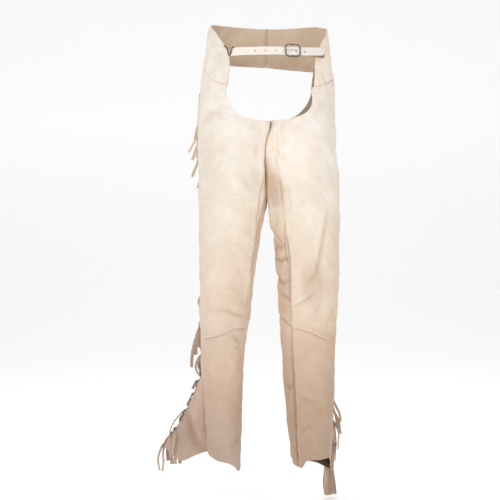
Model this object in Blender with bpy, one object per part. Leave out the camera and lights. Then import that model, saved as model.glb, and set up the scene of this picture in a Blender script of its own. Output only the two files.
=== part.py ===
"""Suede chaps with fringed outseams, in the hollow form that they take when worn.

Each leg has a yoke, a front and a back thigh panel and a front and a back shin panel, all of them
walls on one skin surface. A strap with a buckle and a wire hook closes the yokes in front. Sizes
are in millimetres and MM turns them into metres. X runs from the wearer's right to the left, Y to
the back and Z up, and the origin is the middle of the waist, 16 mm above the strap's middle.
"""

import math

import bmesh
import bpy
import numpy as np

MM = 0.001
SUEDE = 2.0
SEAM_GAP = 0.3

SCOOP_ROWS = 5
INSEAM_ROWS = 10
SHIN_ROWS = 9
YOKE_ROWS = 4
FRONT_COLUMNS = 12
BACK_COLUMNS = 10
BAND_COLUMNS = 5

SIGN = {"right": -1, "left": 1}

# One row for each level section of a leg: its height, how far its outer and inner sides lie from
# the middle plane, its front and back depth, and how square its inner and outer halves are.
SECTIONS = {
    "right": [
        # height, outer, inner, front, back, square_in, square_out
        (80, 126, -10, 84, 88, 2.0, 2.0),
        (50, 140, -10, 90, 95, 2.0, 2.0),
        (0, 148, -10, 100, 106, 2.0, 2.0),
        (-80, 159, -10, 106, 122, 2.2, 2.0),
        (-130, 165, -10, 105, 127, 2.7, 2.1),
        (-172, 167, -10, 104, 125, 2.9, 2.1),
        (-215, 167, 0, 100, 114, 2.9, 2.1),
        (-262, 166, 8, 96, 102, 2.8, 2.1),
        (-350, 165, 1, 90, 88, 2.5, 2.1),
        (-440, 164, 16, 85, 78, 2.4, 2.2),
        (-530, 163, 30, 79, 71, 2.3, 2.3),
        (-640, 162, 43, 74, 66, 2.3, 2.4),
        (-740, 158, 57, 66, 68, 2.3, 2.5),
        (-860, 152, 62, 60, 70, 2.3, 2.5),
        (-1020, 139, 66, 56, 64, 2.3, 2.4),
    ],
    "left": [
        # height, outer, inner, front, back, square_in, square_out
        (80, 132, 13, 84, 88, 2.0, 2.0),
        (50, 144, 13, 90, 95, 2.0, 2.0),
        (0, 150, 13, 100, 106, 2.0, 2.0),
        (-80, 158, 13, 106, 122, 2.2, 2.0),
        (-130, 161, 13, 105, 127, 2.7, 2.1),
        (-172, 162, 13, 104, 125, 2.9, 2.1),
        (-215, 164, 2, 100, 114, 2.9, 2.1),
        (-262, 168, -5, 96, 102, 2.8, 2.1),
        (-350, 172, 5, 90, 88, 2.5, 2.1),
        (-440, 173, 12, 85, 78, 2.4, 2.2),
        (-530, 171, 20, 79, 71, 2.3, 2.3),
        (-640, 166, 29, 74, 66, 2.3, 2.4),
        (-740, 161, 35, 66, 68, 2.3, 2.5),
        (-860, 158, 45, 60, 70, 2.3, 2.5),
        (-1020, 145, 60, 56, 64, 2.3, 2.4),
    ],
}

# Above the crotch the two leg sections become the halves of one hip oval.
HIP_FROM = -225
HIP_WHOLE = -100
# Towards the crotch the inner side of each leg keeps its own section, past these heights and angles.
CROTCH_FADE_TOP = -60
CROTCH_FADE_LOW = -140
CROTCH_FADE_FROM = 120
CROTCH_FADE_TO = 175

# Angles run round a leg in degrees: 0 outside, 90 in front, 180 inside and -90 behind.
OUTSEAM = {
    # height, angle
    "right": [(80, -12), (-40, -15), (-200, -24), (-700, -30), (-1020, -30)],
    "left": [(80, -12), (-60, -15), (-200, -26), (-700, -42), (-1020, -48)],
}
INSEAM = {
    # height, angle
    "right": [(-174, 165), (-225, 157), (-300, 146), (-361, 132), (-453, 139), (-573, 142), (-655, 155),
              (-740, 168), (-1020, 170)],
    "left": [(-175, 157), (-235, 138), (-317, 123), (-422, 122), (-500, 117), (-620, 121), (-785, 118),
             (-937, 122), (-1020, 122)],
}
YOKE_SEAM = {
    # angle, height
    "right": [(-180, -24), (-85, -22), (-15, -26), (18, -38), (44, -55), (78, -77), (95, -85), (106.5, -88)],
    "left": [(-180, -24), (-85, -40), (-15, -56), (21, -68), (54, -79), (76, -88), (95, -93.5)],
}
YOKE_TOP = {
    # angle, height
    "right": [(-180, 66), (-90, 68), (-40, 66), (0, 60), (33, 50), (58, 37), (79, 17), (91, 2), (102, -15)],
    "left": [(-180, 66), (-90, 66), (-40, 60), (0, 50), (21, 44), (43, 26), (56, 17), (66, 5), (84, -24)],
}
KNEE_SEAM = {
    # angle, height
    "right": [(-207, -657), (-150, -632), (-90, -628), (-30, -650), (26, -675), (42, -684), (75, -680),
              (93, -670), (115, -661), (153, -661)],
    "left": [(-237, -655), (-191, -628), (-100, -625), (-42, -650), (25, -675), (40, -680), (55, -687),
             (78, -677), (96, -666), (121, -659)],
}
HEM = {
    # angle, height
    "right": [(-192, -1003), (-150, -988), (-100, -974), (-55, -966), (-30, -959), (-22, -977), (-14, -989),
              (-4, -974), (6, -962), (24, -964), (74, -978), (102, -983), (122, -990), (147, -1003),
              (168, -1006)],
    "left": [(-238, -994), (-206, -987), (-192, -977), (-150, -984), (-90, -1002), (-48, -1028), (-20, -998),
             (5, -976), (21, -972), (60, -974), (96, -976), (104, -980), (111, -990), (122, -994)],
}
YOKE_EDGE = {
    # height, angle
    "right": [(-15, 102), (-34, 108), (-56, 109.5), (-88, 106.5)],
    "left": [(-24, 84), (-57, 90.5), (-93.5, 95)],
}
# The free edges of the legs run down from the yoke to the crotch: scoops in front and behind.
FRONT_SCOOP = {
    # angle, height
    "right": [(106.5, -88), (105, -112), (104.5, -131), (105.5, -150), (110, -165), (121, -171),
              (134, -174.5), (148, -175.5), (165, -174)],
    "left": [(95, -93.5), (101, -110), (96, -126), (94, -141), (98, -156), (110, -167), (130, -173),
             (157, -175)],
}
SEAT_SCOOP = {
    # angle, height
    "right": [(-85, -22), (-91, -70), (-101, -115), (-117, -150), (-140, -169), (-165, -174), (-195, -174)],
    "left": [(-85, -40), (-91, -80), (-101, -118), (-117, -146), (-140, -160), (-165, -168), (-203, -175)],
}
BACK_CORNER = -85
# The height on the outseam that lies across from the crotch.
CROTCH_LEVEL = -265

# The shin widens towards the hem into a flare that carries the outseam on its tip. It stands out
# in its own direction in plan, and blends into the leg at one angle in front and one behind.
FLARE_REACH = {
    # height, reach
    "right": [(-690, 0), (-770, 4), (-800, 17), (-850, 38), (-900, 70), (-950, 112), (-1020, 122)],
    "left": [(-690, 0), (-760, 5), (-820, 20), (-880, 42), (-940, 68), (-1020, 104)],
}
# The reach at which the outseam faces the flare's own way.
FLARE_TURNED = 40
FLARE = {
    # heading in plan (0 sideways, -90 straight back), front angle, back angle
    "right": {"heading": -4, "front": 6, "back": -105},
    "left": {"heading": -74, "front": 4, "back": -112},
}

# The largest folds: soft troughs (negative) and ridges along a line on the skin.
FOLDS = {
    "right": [
        # angle_a, height_a, angle_b, height_b, width, depth
        (118, -560, 160, -618, 26, -4),
        (20, -250, 120, -205, 40, -3),
        (-60, -640, -130, -610, 30, -6),
        (-70, -300, -120, -230, 34, -6),
        (0, -860, -24, -955, 24, -7),
    ],
    "left": [
        # angle_a, height_a, angle_b, height_b, width, depth
        (60, -392, 100, -560, 30, -6),
        (90, -588, 128, -640, 22, -4),
        (126, -455, 165, -470, 26, -5),
        (126, -540, 168, -562, 26, -5),
        (128, -240, 172, -330, 28, -5),
        (-60, -640, -130, -610, 30, -6),
        (-70, -300, -120, -230, 34, -6),
    ],
}

# Fringe: strands hang from a strip in the outseam. Their lower ends drift off the seam as they fall.
STRIP_REACH = 6.0
STRIP_THICK = 1.5
STRAND_PITCH = 11.0
STRAND_WIDE = 7.0
STRAND_THICK = 1.1
STRAND_STOPS = (0.13, 0.38, 0.68, 1.0)
ROOT_OUT = 2.5
FRINGE_NODES = {
    # name, height of its upper end, height of its lower end
    "right": [("right_fringe_upper", -72, -560), ("right_fringe_lower", -565, -953)],
    "left": [("left_fringe_upper", -92, -560), ("left_fringe_lower", -565, -1022)],
}
FRINGE_LIE = {
    "right": [
        # height, drift for each unit of length, heading in plan, strand length, share of the seam's way
        (-60, 0.32, -98, 86, 1.0), (-95, 0.33, -98, 92, 1.0), (-152, 0.33, -48, 98, 1.0),
        (-190, 0.33, -48, 98, 1.0), (-248, 0.33, -98, 98, 1.0), (-548, 0.33, -98, 98, 1.0),
        (-592, 0.33, -64, 98, 1.0), (-740, 0.33, -60, 96, 1.0), (-785, 0.33, -92, 92, 1.0),
        (-860, 0.33, -92, 90, 0.25), (-925, 0.33, -92, 88, 0.15), (-953, 0.33, -88, 62, 0.15),
    ],
    "left": [
        # height, drift for each unit of length, heading in plan, strand length, share of the seam's way
        (-60, 0.33, -98, 90, 1.0), (-765, 0.33, -98, 98, 1.0), (-850, 0.28, -24, 98, 1.0),
        (-934, 0.26, -14, 98, 1.0), (-938, 0.36, -140, 112, 1.0), (-1022, 0.36, -140, 68, 1.0),
    ],
}

# The strap across the front. Angles here run round the waist: 0 at the left side, 90 in front.
STRAP_HEIGHT = -16.0
STRAP_WIDE = 22.0
STRAP_THICK = 2.0
STRAP_TIP_ANGLE = 23.5
STRAP_END_ANGLE = 125.0
STRAP_POINT_LENGTH = 11.0
STRAP_POINT_SHARE = 0.12
WAIST_RADIUS = 125.0
STRAP_STATIONS = 40
STRAP_LIFT = 2.6
STRAP_LIFT_END = 0.4
# The strap rises from its end's lift to its full lift over this stretch.
RISE_FROM = -60.0
RISE_LENGTH = 90.0
HOLE_DISTANCES = (-29.9, -6.0, 18.1, 41.6, 63.3, 84.6)
HOLE_RADIUS = 2.1
HOLE_SIDES = 10
BILLET_WIDE = 20.0
BILLET_FROM_ANGLE = 28.0
BILLET_TO_ANGLE = 70.5
BUCKLE_ANGLE = 68.5
BUCKLE_LONG = 38.0
BUCKLE_HIGH = 32.0
BUCKLE_CORNER = 10.0
BUCKLE_WIRE = 1.5
BUCKLE_LIFT = 7.9
BAR_WIRE = 1.2
BAR_LIFT = 3.85
BULGE_HEIGHT = 3.7
BULGE_WIDE = 12.0
BULGE_OFF = 4.0
PRONG_WIRE = 0.9
HOOK_WIRE = 1.25
HOOK_BENDS = [
    # distance from the middle plane, height from the strap's middle, lift off the waist
    (-102.2, 12.6, 1.9), (-98.5, 10.5, 1.9), (-95.0, 6.5, 1.9), (-92.0, -5.3, 2.3), (-88.5, -11.1, 3.2),
    (-85.0, -5.8, 4.2), (-82.0, 6.1, 4.2), (-77.3, 9.1, 4.2),
]


def smoothstep(value):
    value = np.clip(value, 0, 1)
    return value * value * (3 - 2 * value)


def curve_through(rows, column=1):
    """Return a smooth curve with no overshoot through one column of a table led by its first."""
    rows = sorted(rows)
    x = np.array([row[0] for row in rows], float)
    y = np.array([row[column] for row in rows], float)
    step = np.diff(x)
    slope = np.diff(y) / step
    tangent = np.zeros(len(x))
    tangent[0] = slope[0]
    tangent[-1] = slope[-1]
    for i in range(1, len(x) - 1):
        if slope[i - 1] * slope[i] > 0:
            before = 2 * step[i] + step[i - 1]
            after = step[i] + 2 * step[i - 1]
            tangent[i] = (before + after) / (before / slope[i - 1] + after / slope[i])

    def value_at(where):
        where = np.clip(np.asarray(where, float), x[0], x[-1])
        i = np.clip(np.searchsorted(x, where) - 1, 0, len(x) - 2)
        t = (where - x[i]) / step[i]
        start = (1 + 2 * t) * (1 - t) ** 2 * y[i] + t * (1 - t) ** 2 * step[i] * tangent[i]
        end = t * t * (3 - 2 * t) * y[i + 1] + t * t * (t - 1) * step[i] * tangent[i + 1]
        return start + end

    return value_at


def columns_of(rows, names):
    return {name: curve_through(rows, i + 1) for i, name in enumerate(names)}


SECTION_NAMES = ("outer", "inner", "front", "back", "square_in", "square_out")
SECTION = {side: columns_of(SECTIONS[side], SECTION_NAMES) for side in SIGN}
LIE = {side: columns_of(FRINGE_LIE[side], ("drift", "heading", "length", "follow")) for side in SIGN}
REACH = {side: curve_through(FLARE_REACH[side]) for side in SIGN}
OUTSEAM_ANGLE = {side: curve_through(OUTSEAM[side]) for side in SIGN}
INSEAM_ANGLE = {side: curve_through(INSEAM[side]) for side in SIGN}


def unit(vector):
    return vector / np.linalg.norm(vector, axis=-1, keepdims=True)


def wrapped(angle):
    return (np.asarray(angle, float) + 180) % 360 - 180


def leg_section(side, angle, height):
    """Return the plan point of the leg's own section, away from the hip."""
    section = SECTION[side]
    outer = section["outer"](height)
    inner = section["inner"](height)
    across = np.cos(np.radians(angle))
    along = np.sin(np.radians(angle))
    power = 2 / np.where(across > 0, section["square_out"](height), section["square_in"](height))
    depth = np.where(along > 0, -section["front"](height), section["back"](height))
    x = (outer + inner) / 2 + (outer - inner) / 2 * np.sign(across) * np.abs(across) ** power
    return x, depth * np.abs(along) ** power


def hip_section(side, angle, height):
    """Return the plan point of this side's half of the hip oval."""
    section = SECTION[side]
    turn = np.radians(angle) / 2
    depth = np.where(turn > 0, -section["front"](height), section["back"](height))
    return section["outer"](height) * np.cos(turn), depth * np.abs(np.sin(turn))


def flare_offset(side, angle, height):
    """Return how far the flare carries a point of the shin out, in plan."""
    flare = FLARE[side]
    tip = OUTSEAM_ANGLE[side](height)
    in_front = (flare["front"] - angle) / (flare["front"] - tip)
    behind = (angle - flare["back"]) / (tip - flare["back"])
    share = np.clip(np.minimum(in_front, behind), 0, 1)
    heading = math.radians(flare["heading"])
    reach = REACH[side](height) * share
    return reach * math.cos(heading), -reach * math.sin(heading)


def fold_height(side, angle, height):
    """Return how far the folds raise or sink the skin at a point."""
    total = np.zeros(np.broadcast(angle, height).shape)
    arc_per_degree = 1.45
    for angle_a, height_a, angle_b, height_b, width, depth in FOLDS[side]:
        run = np.array([(angle_b - angle_a) * arc_per_degree, height_b - height_a])
        length = np.hypot(*run)
        from_a = np.array([wrapped(angle - angle_a) * arc_per_degree, height - height_a])
        along = np.clip((from_a[0] * run[0] + from_a[1] * run[1]) / length**2, 0, 1)
        off = np.hypot(from_a[0] - along * run[0], from_a[1] - along * run[1])
        total = total + depth * np.exp(-((off / width) ** 2)) * (0.35 + 0.65 * np.sin(math.pi * along))
    return total


def plain_skin(side, angle, height):
    """Return points on the outside of the suede before folds, with X outward from the middle."""
    angle = wrapped(angle)
    leg_x, leg_y = leg_section(side, angle, height)
    hip_x, hip_y = hip_section(side, angle, height)
    fade_low = smoothstep((CROTCH_FADE_TOP - height) / (CROTCH_FADE_TOP - CROTCH_FADE_LOW))
    fade = smoothstep((np.abs(angle) - CROTCH_FADE_FROM) / (CROTCH_FADE_TO - CROTCH_FADE_FROM))
    hip = smoothstep((height - HIP_FROM) / (HIP_WHOLE - HIP_FROM)) * (1 - fade * fade_low)
    flare_x, flare_y = flare_offset(side, angle, height)
    x = leg_x + (hip_x - leg_x) * hip + flare_x
    y = leg_y + (hip_y - leg_y) * hip + flare_y
    return np.stack([x, y, np.broadcast_to(height, x.shape).astype(float)], -1)


def skin_normal(side, angle, height):
    """Return the outward unit normals of the skin, halfway between its two sides at an edge."""
    angle_step = 1.5
    height_step = 3.0
    up_way = plain_skin(side, angle, height + height_step) - plain_skin(side, angle, height - height_step)
    here = plain_skin(side, angle, height)
    ahead = unit(np.cross(up_way, plain_skin(side, angle + angle_step, height) - here))
    behind = unit(np.cross(up_way, here - plain_skin(side, angle - angle_step, height)))
    return unit(ahead + behind)


def skin(side, angle, height):
    """Return points on the outside of the suede."""
    angle = np.asarray(angle, float)
    height = np.asarray(height, float)
    raised = fold_height(side, angle, height)
    return plain_skin(side, angle, height) + raised[..., None] * skin_normal(side, angle, height)


def spaced(rows, count):
    """Return count + 1 evenly spaced (angle, height) points along a line of such points."""
    rows = np.array(rows, float)
    steps = np.hypot(np.diff(rows[:, 0]) * 1.3, np.diff(rows[:, 1]))
    travelled = np.concatenate([[0], np.cumsum(steps)])
    wanted = np.linspace(0, travelled[-1], count + 1)
    angles = curve_through(list(zip(travelled, rows[:, 0])))(wanted)
    heights = curve_through(list(zip(travelled, rows[:, 1])))(wanted)
    return np.stack([angles, heights], -1)


def edge_between(rows, start, end, count):
    """Return count + 1 points of an (angle, height) edge between two angles."""
    angles = np.linspace(start, end, count + 1)
    return np.stack([angles, curve_through(rows)(angles)], -1)


def patch(top, bottom, first, last):
    """Fill a four-sided (angle, height) patch between its edges, and return its angles and heights."""
    down = np.linspace(0, 1, len(first))[:, None, None]
    across = np.linspace(0, 1, len(top))[None, :, None]
    ruled = top[None] * (1 - down) + bottom[None] * down
    sided = first[:, None] * (1 - across) + last[:, None] * across
    upper = top[0] * (1 - across) + top[-1] * across
    lower = bottom[0] * (1 - across) + bottom[-1] * across
    filled = ruled + sided - upper * (1 - down) - lower * down
    return filled[..., 0], filled[..., 1]


def seam_run(seam, top, bottom, count):
    """Return count + 1 (angle, height) points down a seam that is given by its angle at each height."""
    heights = np.linspace(top, bottom, count + 1)
    return np.stack([seam(heights), heights], -1)


def drawn_in(grid, distance):
    """Draw the border of a grid of points in by a distance along the grid's own lines."""
    grid = grid.copy()
    for axis in (0, 1):
        lines = np.moveaxis(grid, axis, 0)
        first = lines[0] + distance * unit(lines[1] - lines[0])
        last = lines[-1] + distance * unit(lines[-2] - lines[-1])
        lines[0] = first
        lines[-1] = last
    return grid


def wall_mesh(outer, inner):
    """Return the points and quads of a closed wall between two grids."""
    rows, columns = outer.shape[:2]
    points = np.concatenate([outer.reshape(-1, 3), inner.reshape(-1, 3)])
    size = rows * columns
    quads = []
    for r in range(rows - 1):
        for c in range(columns - 1):
            a = r * columns + c
            b = a + 1
            d = a + columns
            quads.append((a, d, d + 1, b))
            quads.append((size + a, size + b, size + d + 1, size + d))
    border = [c for c in range(columns)]
    border += [r * columns + columns - 1 for r in range(1, rows)]
    border += [(rows - 1) * columns + c for c in range(columns - 2, -1, -1)]
    border += [r * columns for r in range(rows - 2, 0, -1)]
    for here, there in zip(border, border[1:] + border[:1]):
        quads.append((here, there, size + there, size + here))
    return points, quads


def material(name, colour, roughness, metallic=0.0):
    made = bpy.data.materials.new(name)
    made.use_nodes = True
    shader = made.node_tree.nodes["Principled BSDF"]
    shader.inputs["Base Color"].default_value = (*colour, 1)
    shader.inputs["Roughness"].default_value = roughness
    shader.inputs["Metallic"].default_value = metallic
    return made


def solid(name, points, faces, finish):
    """Make an object from points in millimetres, with its faces turned out."""
    mesh = bpy.data.meshes.new(name)
    mesh.from_pydata([tuple(p) for p in np.asarray(points) * MM], [], faces)
    made = bpy.data.objects.new(name, mesh)
    bpy.context.scene.collection.objects.link(made)
    work = bmesh.new()
    work.from_mesh(mesh)
    bmesh.ops.recalc_face_normals(work, faces=work.faces[:])
    bmesh.ops.triangulate(work, faces=work.faces[:])
    if work.calc_volume(signed=True) < 0:
        bmesh.ops.reverse_faces(work, faces=work.faces[:])
    work.to_mesh(mesh)
    work.free()
    mesh.shade_smooth()
    mesh.set_sharp_from_angle(angle=math.radians(40))
    mesh.materials.append(finish)
    return made


def placed(side, points):
    """Turn points with X outward into the part's own frame."""
    return points * np.array([SIGN[side], 1, 1])


def panel(name, side, angle, height, finish):
    """Make one suede panel over a grid of angles and heights."""
    outer = skin(side, angle, height)
    inner = outer - SUEDE * skin_normal(side, angle, height)
    moved = drawn_in(outer, SEAM_GAP / 2) - outer
    points, faces = wall_mesh(outer + moved, inner + moved)
    solid(name, placed(side, points), faces, finish)


def meeting(rows, seam, guess):
    """Return the (angle, height) point where a cross line meets a seam."""
    line = curve_through(rows)
    angle = guess
    for _ in range(30):
        angle = float(seam(line(angle)))
    return np.array([angle, float(line(angle))])


def outseam_runs(side):
    """Return the (angle, height) points down the outseam on the thigh and on the shin."""
    seam = OUTSEAM_ANGLE[side]
    top, knee, hem = (meeting(rows[side], seam, -30)[1] for rows in (YOKE_SEAM, KNEE_SEAM, HEM))
    upper = seam_run(seam, top, CROTCH_LEVEL, SCOOP_ROWS)
    lower = seam_run(seam, CROTCH_LEVEL, knee, INSEAM_ROWS)
    return np.concatenate([upper, lower[1:]]), seam_run(seam, knee, hem, SHIN_ROWS)


def leg(side, finishes):
    """Make the yoke and the four panels of one leg."""
    full_turn = np.array([360.0, 0.0])
    inseam = INSEAM_ANGLE[side]
    out_thigh, out_shin = outseam_runs(side)
    out = out_thigh[0, 0]
    knee_in, hem_in = (meeting(rows[side], inseam, 150) for rows in (KNEE_SEAM, HEM))
    in_thigh = seam_run(inseam, FRONT_SCOOP[side][-1][1], knee_in[1], INSEAM_ROWS)
    in_shin = seam_run(inseam, knee_in[1], hem_in[1], SHIN_ROWS)

    front_seam = edge_between(YOKE_SEAM[side], out, FRONT_SCOOP[side][0][0], FRONT_COLUMNS)
    back_seam = edge_between(YOKE_SEAM[side], out, BACK_CORNER, BACK_COLUMNS)
    back_band = edge_between(YOKE_SEAM[side], BACK_CORNER, -180, BAND_COLUMNS)
    yoke_bottom = np.concatenate([back_band[::-1], back_seam[::-1][1:], front_seam[1:]])
    band_top = edge_between(YOKE_TOP[side], -180, BACK_CORNER, BAND_COLUMNS)
    back_top = edge_between(YOKE_TOP[side], BACK_CORNER, out, BACK_COLUMNS)
    front_top = [tuple(back_top[-1])] + [row for row in YOKE_TOP[side] if row[0] > out]
    yoke_top = np.concatenate([band_top, back_top[1:], spaced(front_top, FRONT_COLUMNS)[1:]])
    middle_back = np.linspace(yoke_top[0], yoke_bottom[0], YOKE_ROWS + 1)
    front_edge = seam_run(curve_through(YOKE_EDGE[side]), yoke_top[-1, 1], yoke_bottom[-1, 1], YOKE_ROWS)
    panel(side + "_yoke", side, *patch(yoke_top, yoke_bottom, middle_back, front_edge), finishes["yoke"])

    for name, turned, seam, scoop, columns in (
        ("front", 0 * full_turn, front_seam, FRONT_SCOOP[side], FRONT_COLUMNS),
        ("back", full_turn, back_seam, SEAT_SCOOP[side], BACK_COLUMNS),
    ):
        in_side = np.concatenate([spaced(scoop, SCOOP_ROWS), in_thigh[1:] - turned])
        knee = edge_between(KNEE_SEAM[side], out_thigh[-1, 0], in_side[-1, 0], columns)
        knee[-1] = in_side[-1]
        thigh = patch(seam, knee, out_thigh, in_side)
        panel(side + "_" + name + "_thigh", side, *thigh, finishes["thigh"])
        hem = edge_between(HEM[side], out_shin[-1, 0], hem_in[0] - turned[0], columns)
        hem[-1] = hem_in - turned
        shin = patch(knee, hem, out_shin, in_shin - turned)
        panel(side + "_" + name + "_shin", side, *shin, finishes["shin"])


def seam_line(side):
    """Return the outseam's corner points on the panels' walls, from the hem up."""
    thigh, shin = outseam_runs(side)
    run = np.concatenate([thigh, shin[1:]])[::-1]
    return skin(side, run[:, 0], run[:, 1])


SEAM_LINE = {}


def on_seam(side, height):
    """Return the point of the outseam at a height, on the straight runs between its corners."""
    if side not in SEAM_LINE:
        SEAM_LINE[side] = seam_line(side)
    line = SEAM_LINE[side]
    return np.array([np.interp(height, line[:, 2], line[:, k]) for k in (0, 1)] + [height])


def seam_edge(side, height):
    """Return the point of the outseam at a height, and the directions out of it and along it."""
    reach = 12.0
    point = on_seam(side, height)
    along = unit(on_seam(side, height - reach) - on_seam(side, height + reach))
    flared = min(REACH[side](height) / FLARE_TURNED, 1.0)
    heading = math.radians(FLARE[side]["heading"])
    tip_way = np.array([math.cos(heading), -math.sin(heading), 0])
    normal = skin_normal(side, OUTSEAM_ANGLE[side](height), np.array(float(height)))
    out = unit(normal * (1 - flared) + tip_way * flared)
    out = unit(out - along * np.dot(out, along))
    return point, out, along


def strand_sections(side, height, root):
    """Return the four-cornered sections of a strand, from its root corners to its lower end."""
    lie = {name: float(value(height)) for name, value in LIE[side].items()}
    heading = math.radians(lie["heading"])
    drift_way = np.array([math.cos(heading), -math.sin(heading), 0])
    spread = STRIP_REACH + SEAM_GAP + ROOT_OUT
    lowest = SECTIONS[side][-1][0] + 4
    own = seam_edge(side, height)
    follow = lie["follow"]
    sections = [root]
    for stop in STRAND_STOPS:
        fallen = lie["length"] * stop
        lower = seam_edge(side, max(height - fallen, lowest))
        mixed = (follow * there + (1 - follow) * here for here, there in zip(own, lower))
        below, out_below, along_below = mixed
        below[2] = height - fallen
        wide_way = unit(np.cross(along_below, drift_way))
        centre = below + unit(out_below) * spread + drift_way * lie["drift"] * fallen
        thick_way = unit(np.cross(wide_way, along_below))
        if np.dot(thick_way, drift_way) < 0:
            thick_way = -thick_way
        half_wide = wide_way * STRAND_WIDE / 2
        half_thick = thick_way * STRAND_THICK / 2
        sections.append([centre + half_thick - half_wide, centre + half_thick + half_wide,
                         centre - half_thick + half_wide, centre - half_thick - half_wide])
    return sections


def fringe(name, side, top, bottom, finish):
    """Make a strip that stands in the outseam, with strands that hang from its outer edge."""
    points = []
    faces = []
    half = STRIP_THICK / 2

    def station(height):
        point, out, along = seam_edge(side, height)
        across = unit(np.cross(along, out)) * half
        near = point + out * SEAM_GAP
        far = near + out * STRIP_REACH
        start = len(points)
        points.extend([near - across, near + across, far + across, far - across])
        return start

    def joined(first, second, sides):
        for k in sides:
            faces.append((first + k, first + (k + 1) % 4, second + (k + 1) % 4, second + k))

    count = int((top - bottom) / STRAND_PITCH)
    pitch = (top - bottom) / count
    last = None
    for i in range(count):
        height = top - pitch * (i + 0.5)
        upper = station(height + STRAND_WIDE / 2)
        if last is None:
            faces.append((upper + 3, upper + 2, upper + 1, upper))
        else:
            joined(last, upper, range(4))
        lower = station(height - STRAND_WIDE / 2)
        joined(upper, lower, (0, 1, 3))
        root = [points[upper + 3], points[upper + 2], points[lower + 2], points[lower + 3]]
        ring = [upper + 3, upper + 2, lower + 2, lower + 3]
        for corners in strand_sections(side, height, root)[1:]:
            start = len(points)
            points.extend(corners)
            fresh = [start, start + 1, start + 2, start + 3]
            for k in range(4):
                faces.append((ring[k], ring[(k + 1) % 4], fresh[(k + 1) % 4], fresh[k]))
            ring = fresh
        faces.append(tuple(ring))
        last = lower
    faces.append((last, last + 1, last + 2, last + 3))
    solid(name, placed(side, np.array(points)), faces, finish)


def waist(angle, height, lift):
    """Return a point lifted off the waist, in the part's own frame. The height runs from the
    strap's middle, and angle 90 is the middle front."""

    def at(angle):
        side = "left" if angle < 90 else "right"
        section = SECTION[side]
        turn = math.radians(angle)
        level = STRAP_HEIGHT + height
        return np.array([float(section["outer"](level)) * math.cos(turn),
                         -float(section["front"](level)) * math.sin(turn), level])

    step = 0.5
    ahead = at(angle + step) - at(angle - step)
    normal = unit(np.array([ahead[1], -ahead[0], 0]))
    if normal[1] > 0:
        normal = -normal
    return at(angle) + normal * lift


def waist_angle(x, height=0.0):
    """Return the waist angle at a distance from the middle plane."""
    section = SECTION["left" if x > 0 else "right"]
    return math.degrees(math.acos(x / float(section["outer"](STRAP_HEIGHT + height))))


def strap_lift(angle):
    """Return how far the inside of the strap lies off the waist: it bulges over the buckle's bar."""
    x = waist(angle, 0.0, 0.0)[0]
    risen = smoothstep((x - RISE_FROM) / RISE_LENGTH)
    lift = STRAP_LIFT_END + (STRAP_LIFT - STRAP_LIFT_END) * float(risen)
    off = (x - waist(BUCKLE_ANGLE, 0.0, 0.0)[0] - BULGE_OFF) / BULGE_WIDE
    return lift + BULGE_HEIGHT * math.exp(-off * off)


def band(name, angles, half_widths, lifts, thick, finish):
    """Make a strap round the waist from its half width and lift at each angle."""
    outer = []
    inner = []
    for angle, half_wide, lift in zip(angles, half_widths, lifts):
        outer.append([waist(angle, half_wide * k, lift + thick) for k in (1, 0, -1)])
        inner.append([waist(angle, half_wide * k, lift) for k in (1, 0, -1)])
    points, faces = wall_mesh(np.array(outer), np.array(inner))
    return solid(name, points, faces, finish)


def tube(name, path, radius, sides, finish, closed=False):
    """Make a round wire along a path of points."""
    path = np.array(path, float)
    count = len(path)
    if closed:
        ways = unit(np.roll(path, -1, 0) - np.roll(path, 1, 0))
    else:
        ways = unit(np.gradient(path, axis=0))
    side_way = unit(np.cross(ways[0], [0.0, 1.0, 0.1]))
    rings = []
    for point, way in zip(path, ways):
        side_way = unit(side_way - way * np.dot(side_way, way))
        up_way = np.cross(way, side_way)
        turns = np.arange(sides) * 2 * math.pi / sides
        rings.append(point + radius * (np.cos(turns)[:, None] * side_way + np.sin(turns)[:, None] * up_way))
    faces = []
    for i in range(count if closed else count - 1):
        for k in range(sides):
            here = i * sides
            there = (i + 1) % count * sides
            faces.append((here + k, here + (k + 1) % sides, there + (k + 1) % sides, there + k))
    if not closed:
        faces.append(tuple(range(sides))[::-1])
        faces.append(tuple((count - 1) * sides + k for k in range(sides)))
    return solid(name, np.concatenate(rings), faces, finish)


def boolean(target, tool, operation):
    """Join another object to the target, or cut it away, and leave the tool out of the part."""
    change = target.modifiers.new(tool.name, "BOOLEAN")
    change.operation = operation
    change.solver = "EXACT"
    change.object = tool
    tool.hide_render = True
    tool.display_type = "WIRE"


def strap(finish):
    """Make the strap, with a pointed end and a row of punched holes."""
    angles = np.linspace(STRAP_TIP_ANGLE, STRAP_END_ANGLE, STRAP_STATIONS)
    shoulder = STRAP_TIP_ANGLE + math.degrees(STRAP_POINT_LENGTH / WAIST_RADIUS)
    angles = np.sort(np.append(angles, shoulder))
    tip_share = np.clip((angles - STRAP_TIP_ANGLE) / (shoulder - STRAP_TIP_ANGLE), 0, 1)
    half_widths = STRAP_WIDE / 2 * (STRAP_POINT_SHARE + (1 - STRAP_POINT_SHARE) * tip_share)
    lifts = [strap_lift(angle) for angle in angles]
    made = band("belt_strap", angles, half_widths, lifts, STRAP_THICK, finish)
    for i, x in enumerate(HOLE_DISTANCES):
        angle = waist_angle(x)
        inside = waist(angle, 0.0, strap_lift(angle) - 3)
        outside = waist(angle, 0.0, strap_lift(angle) + STRAP_THICK + 3)
        punch = tube("hole_punch_%d" % i, [inside, outside], HOLE_RADIUS, HOLE_SIDES, finish)
        boolean(made, punch, "DIFFERENCE")


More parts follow.
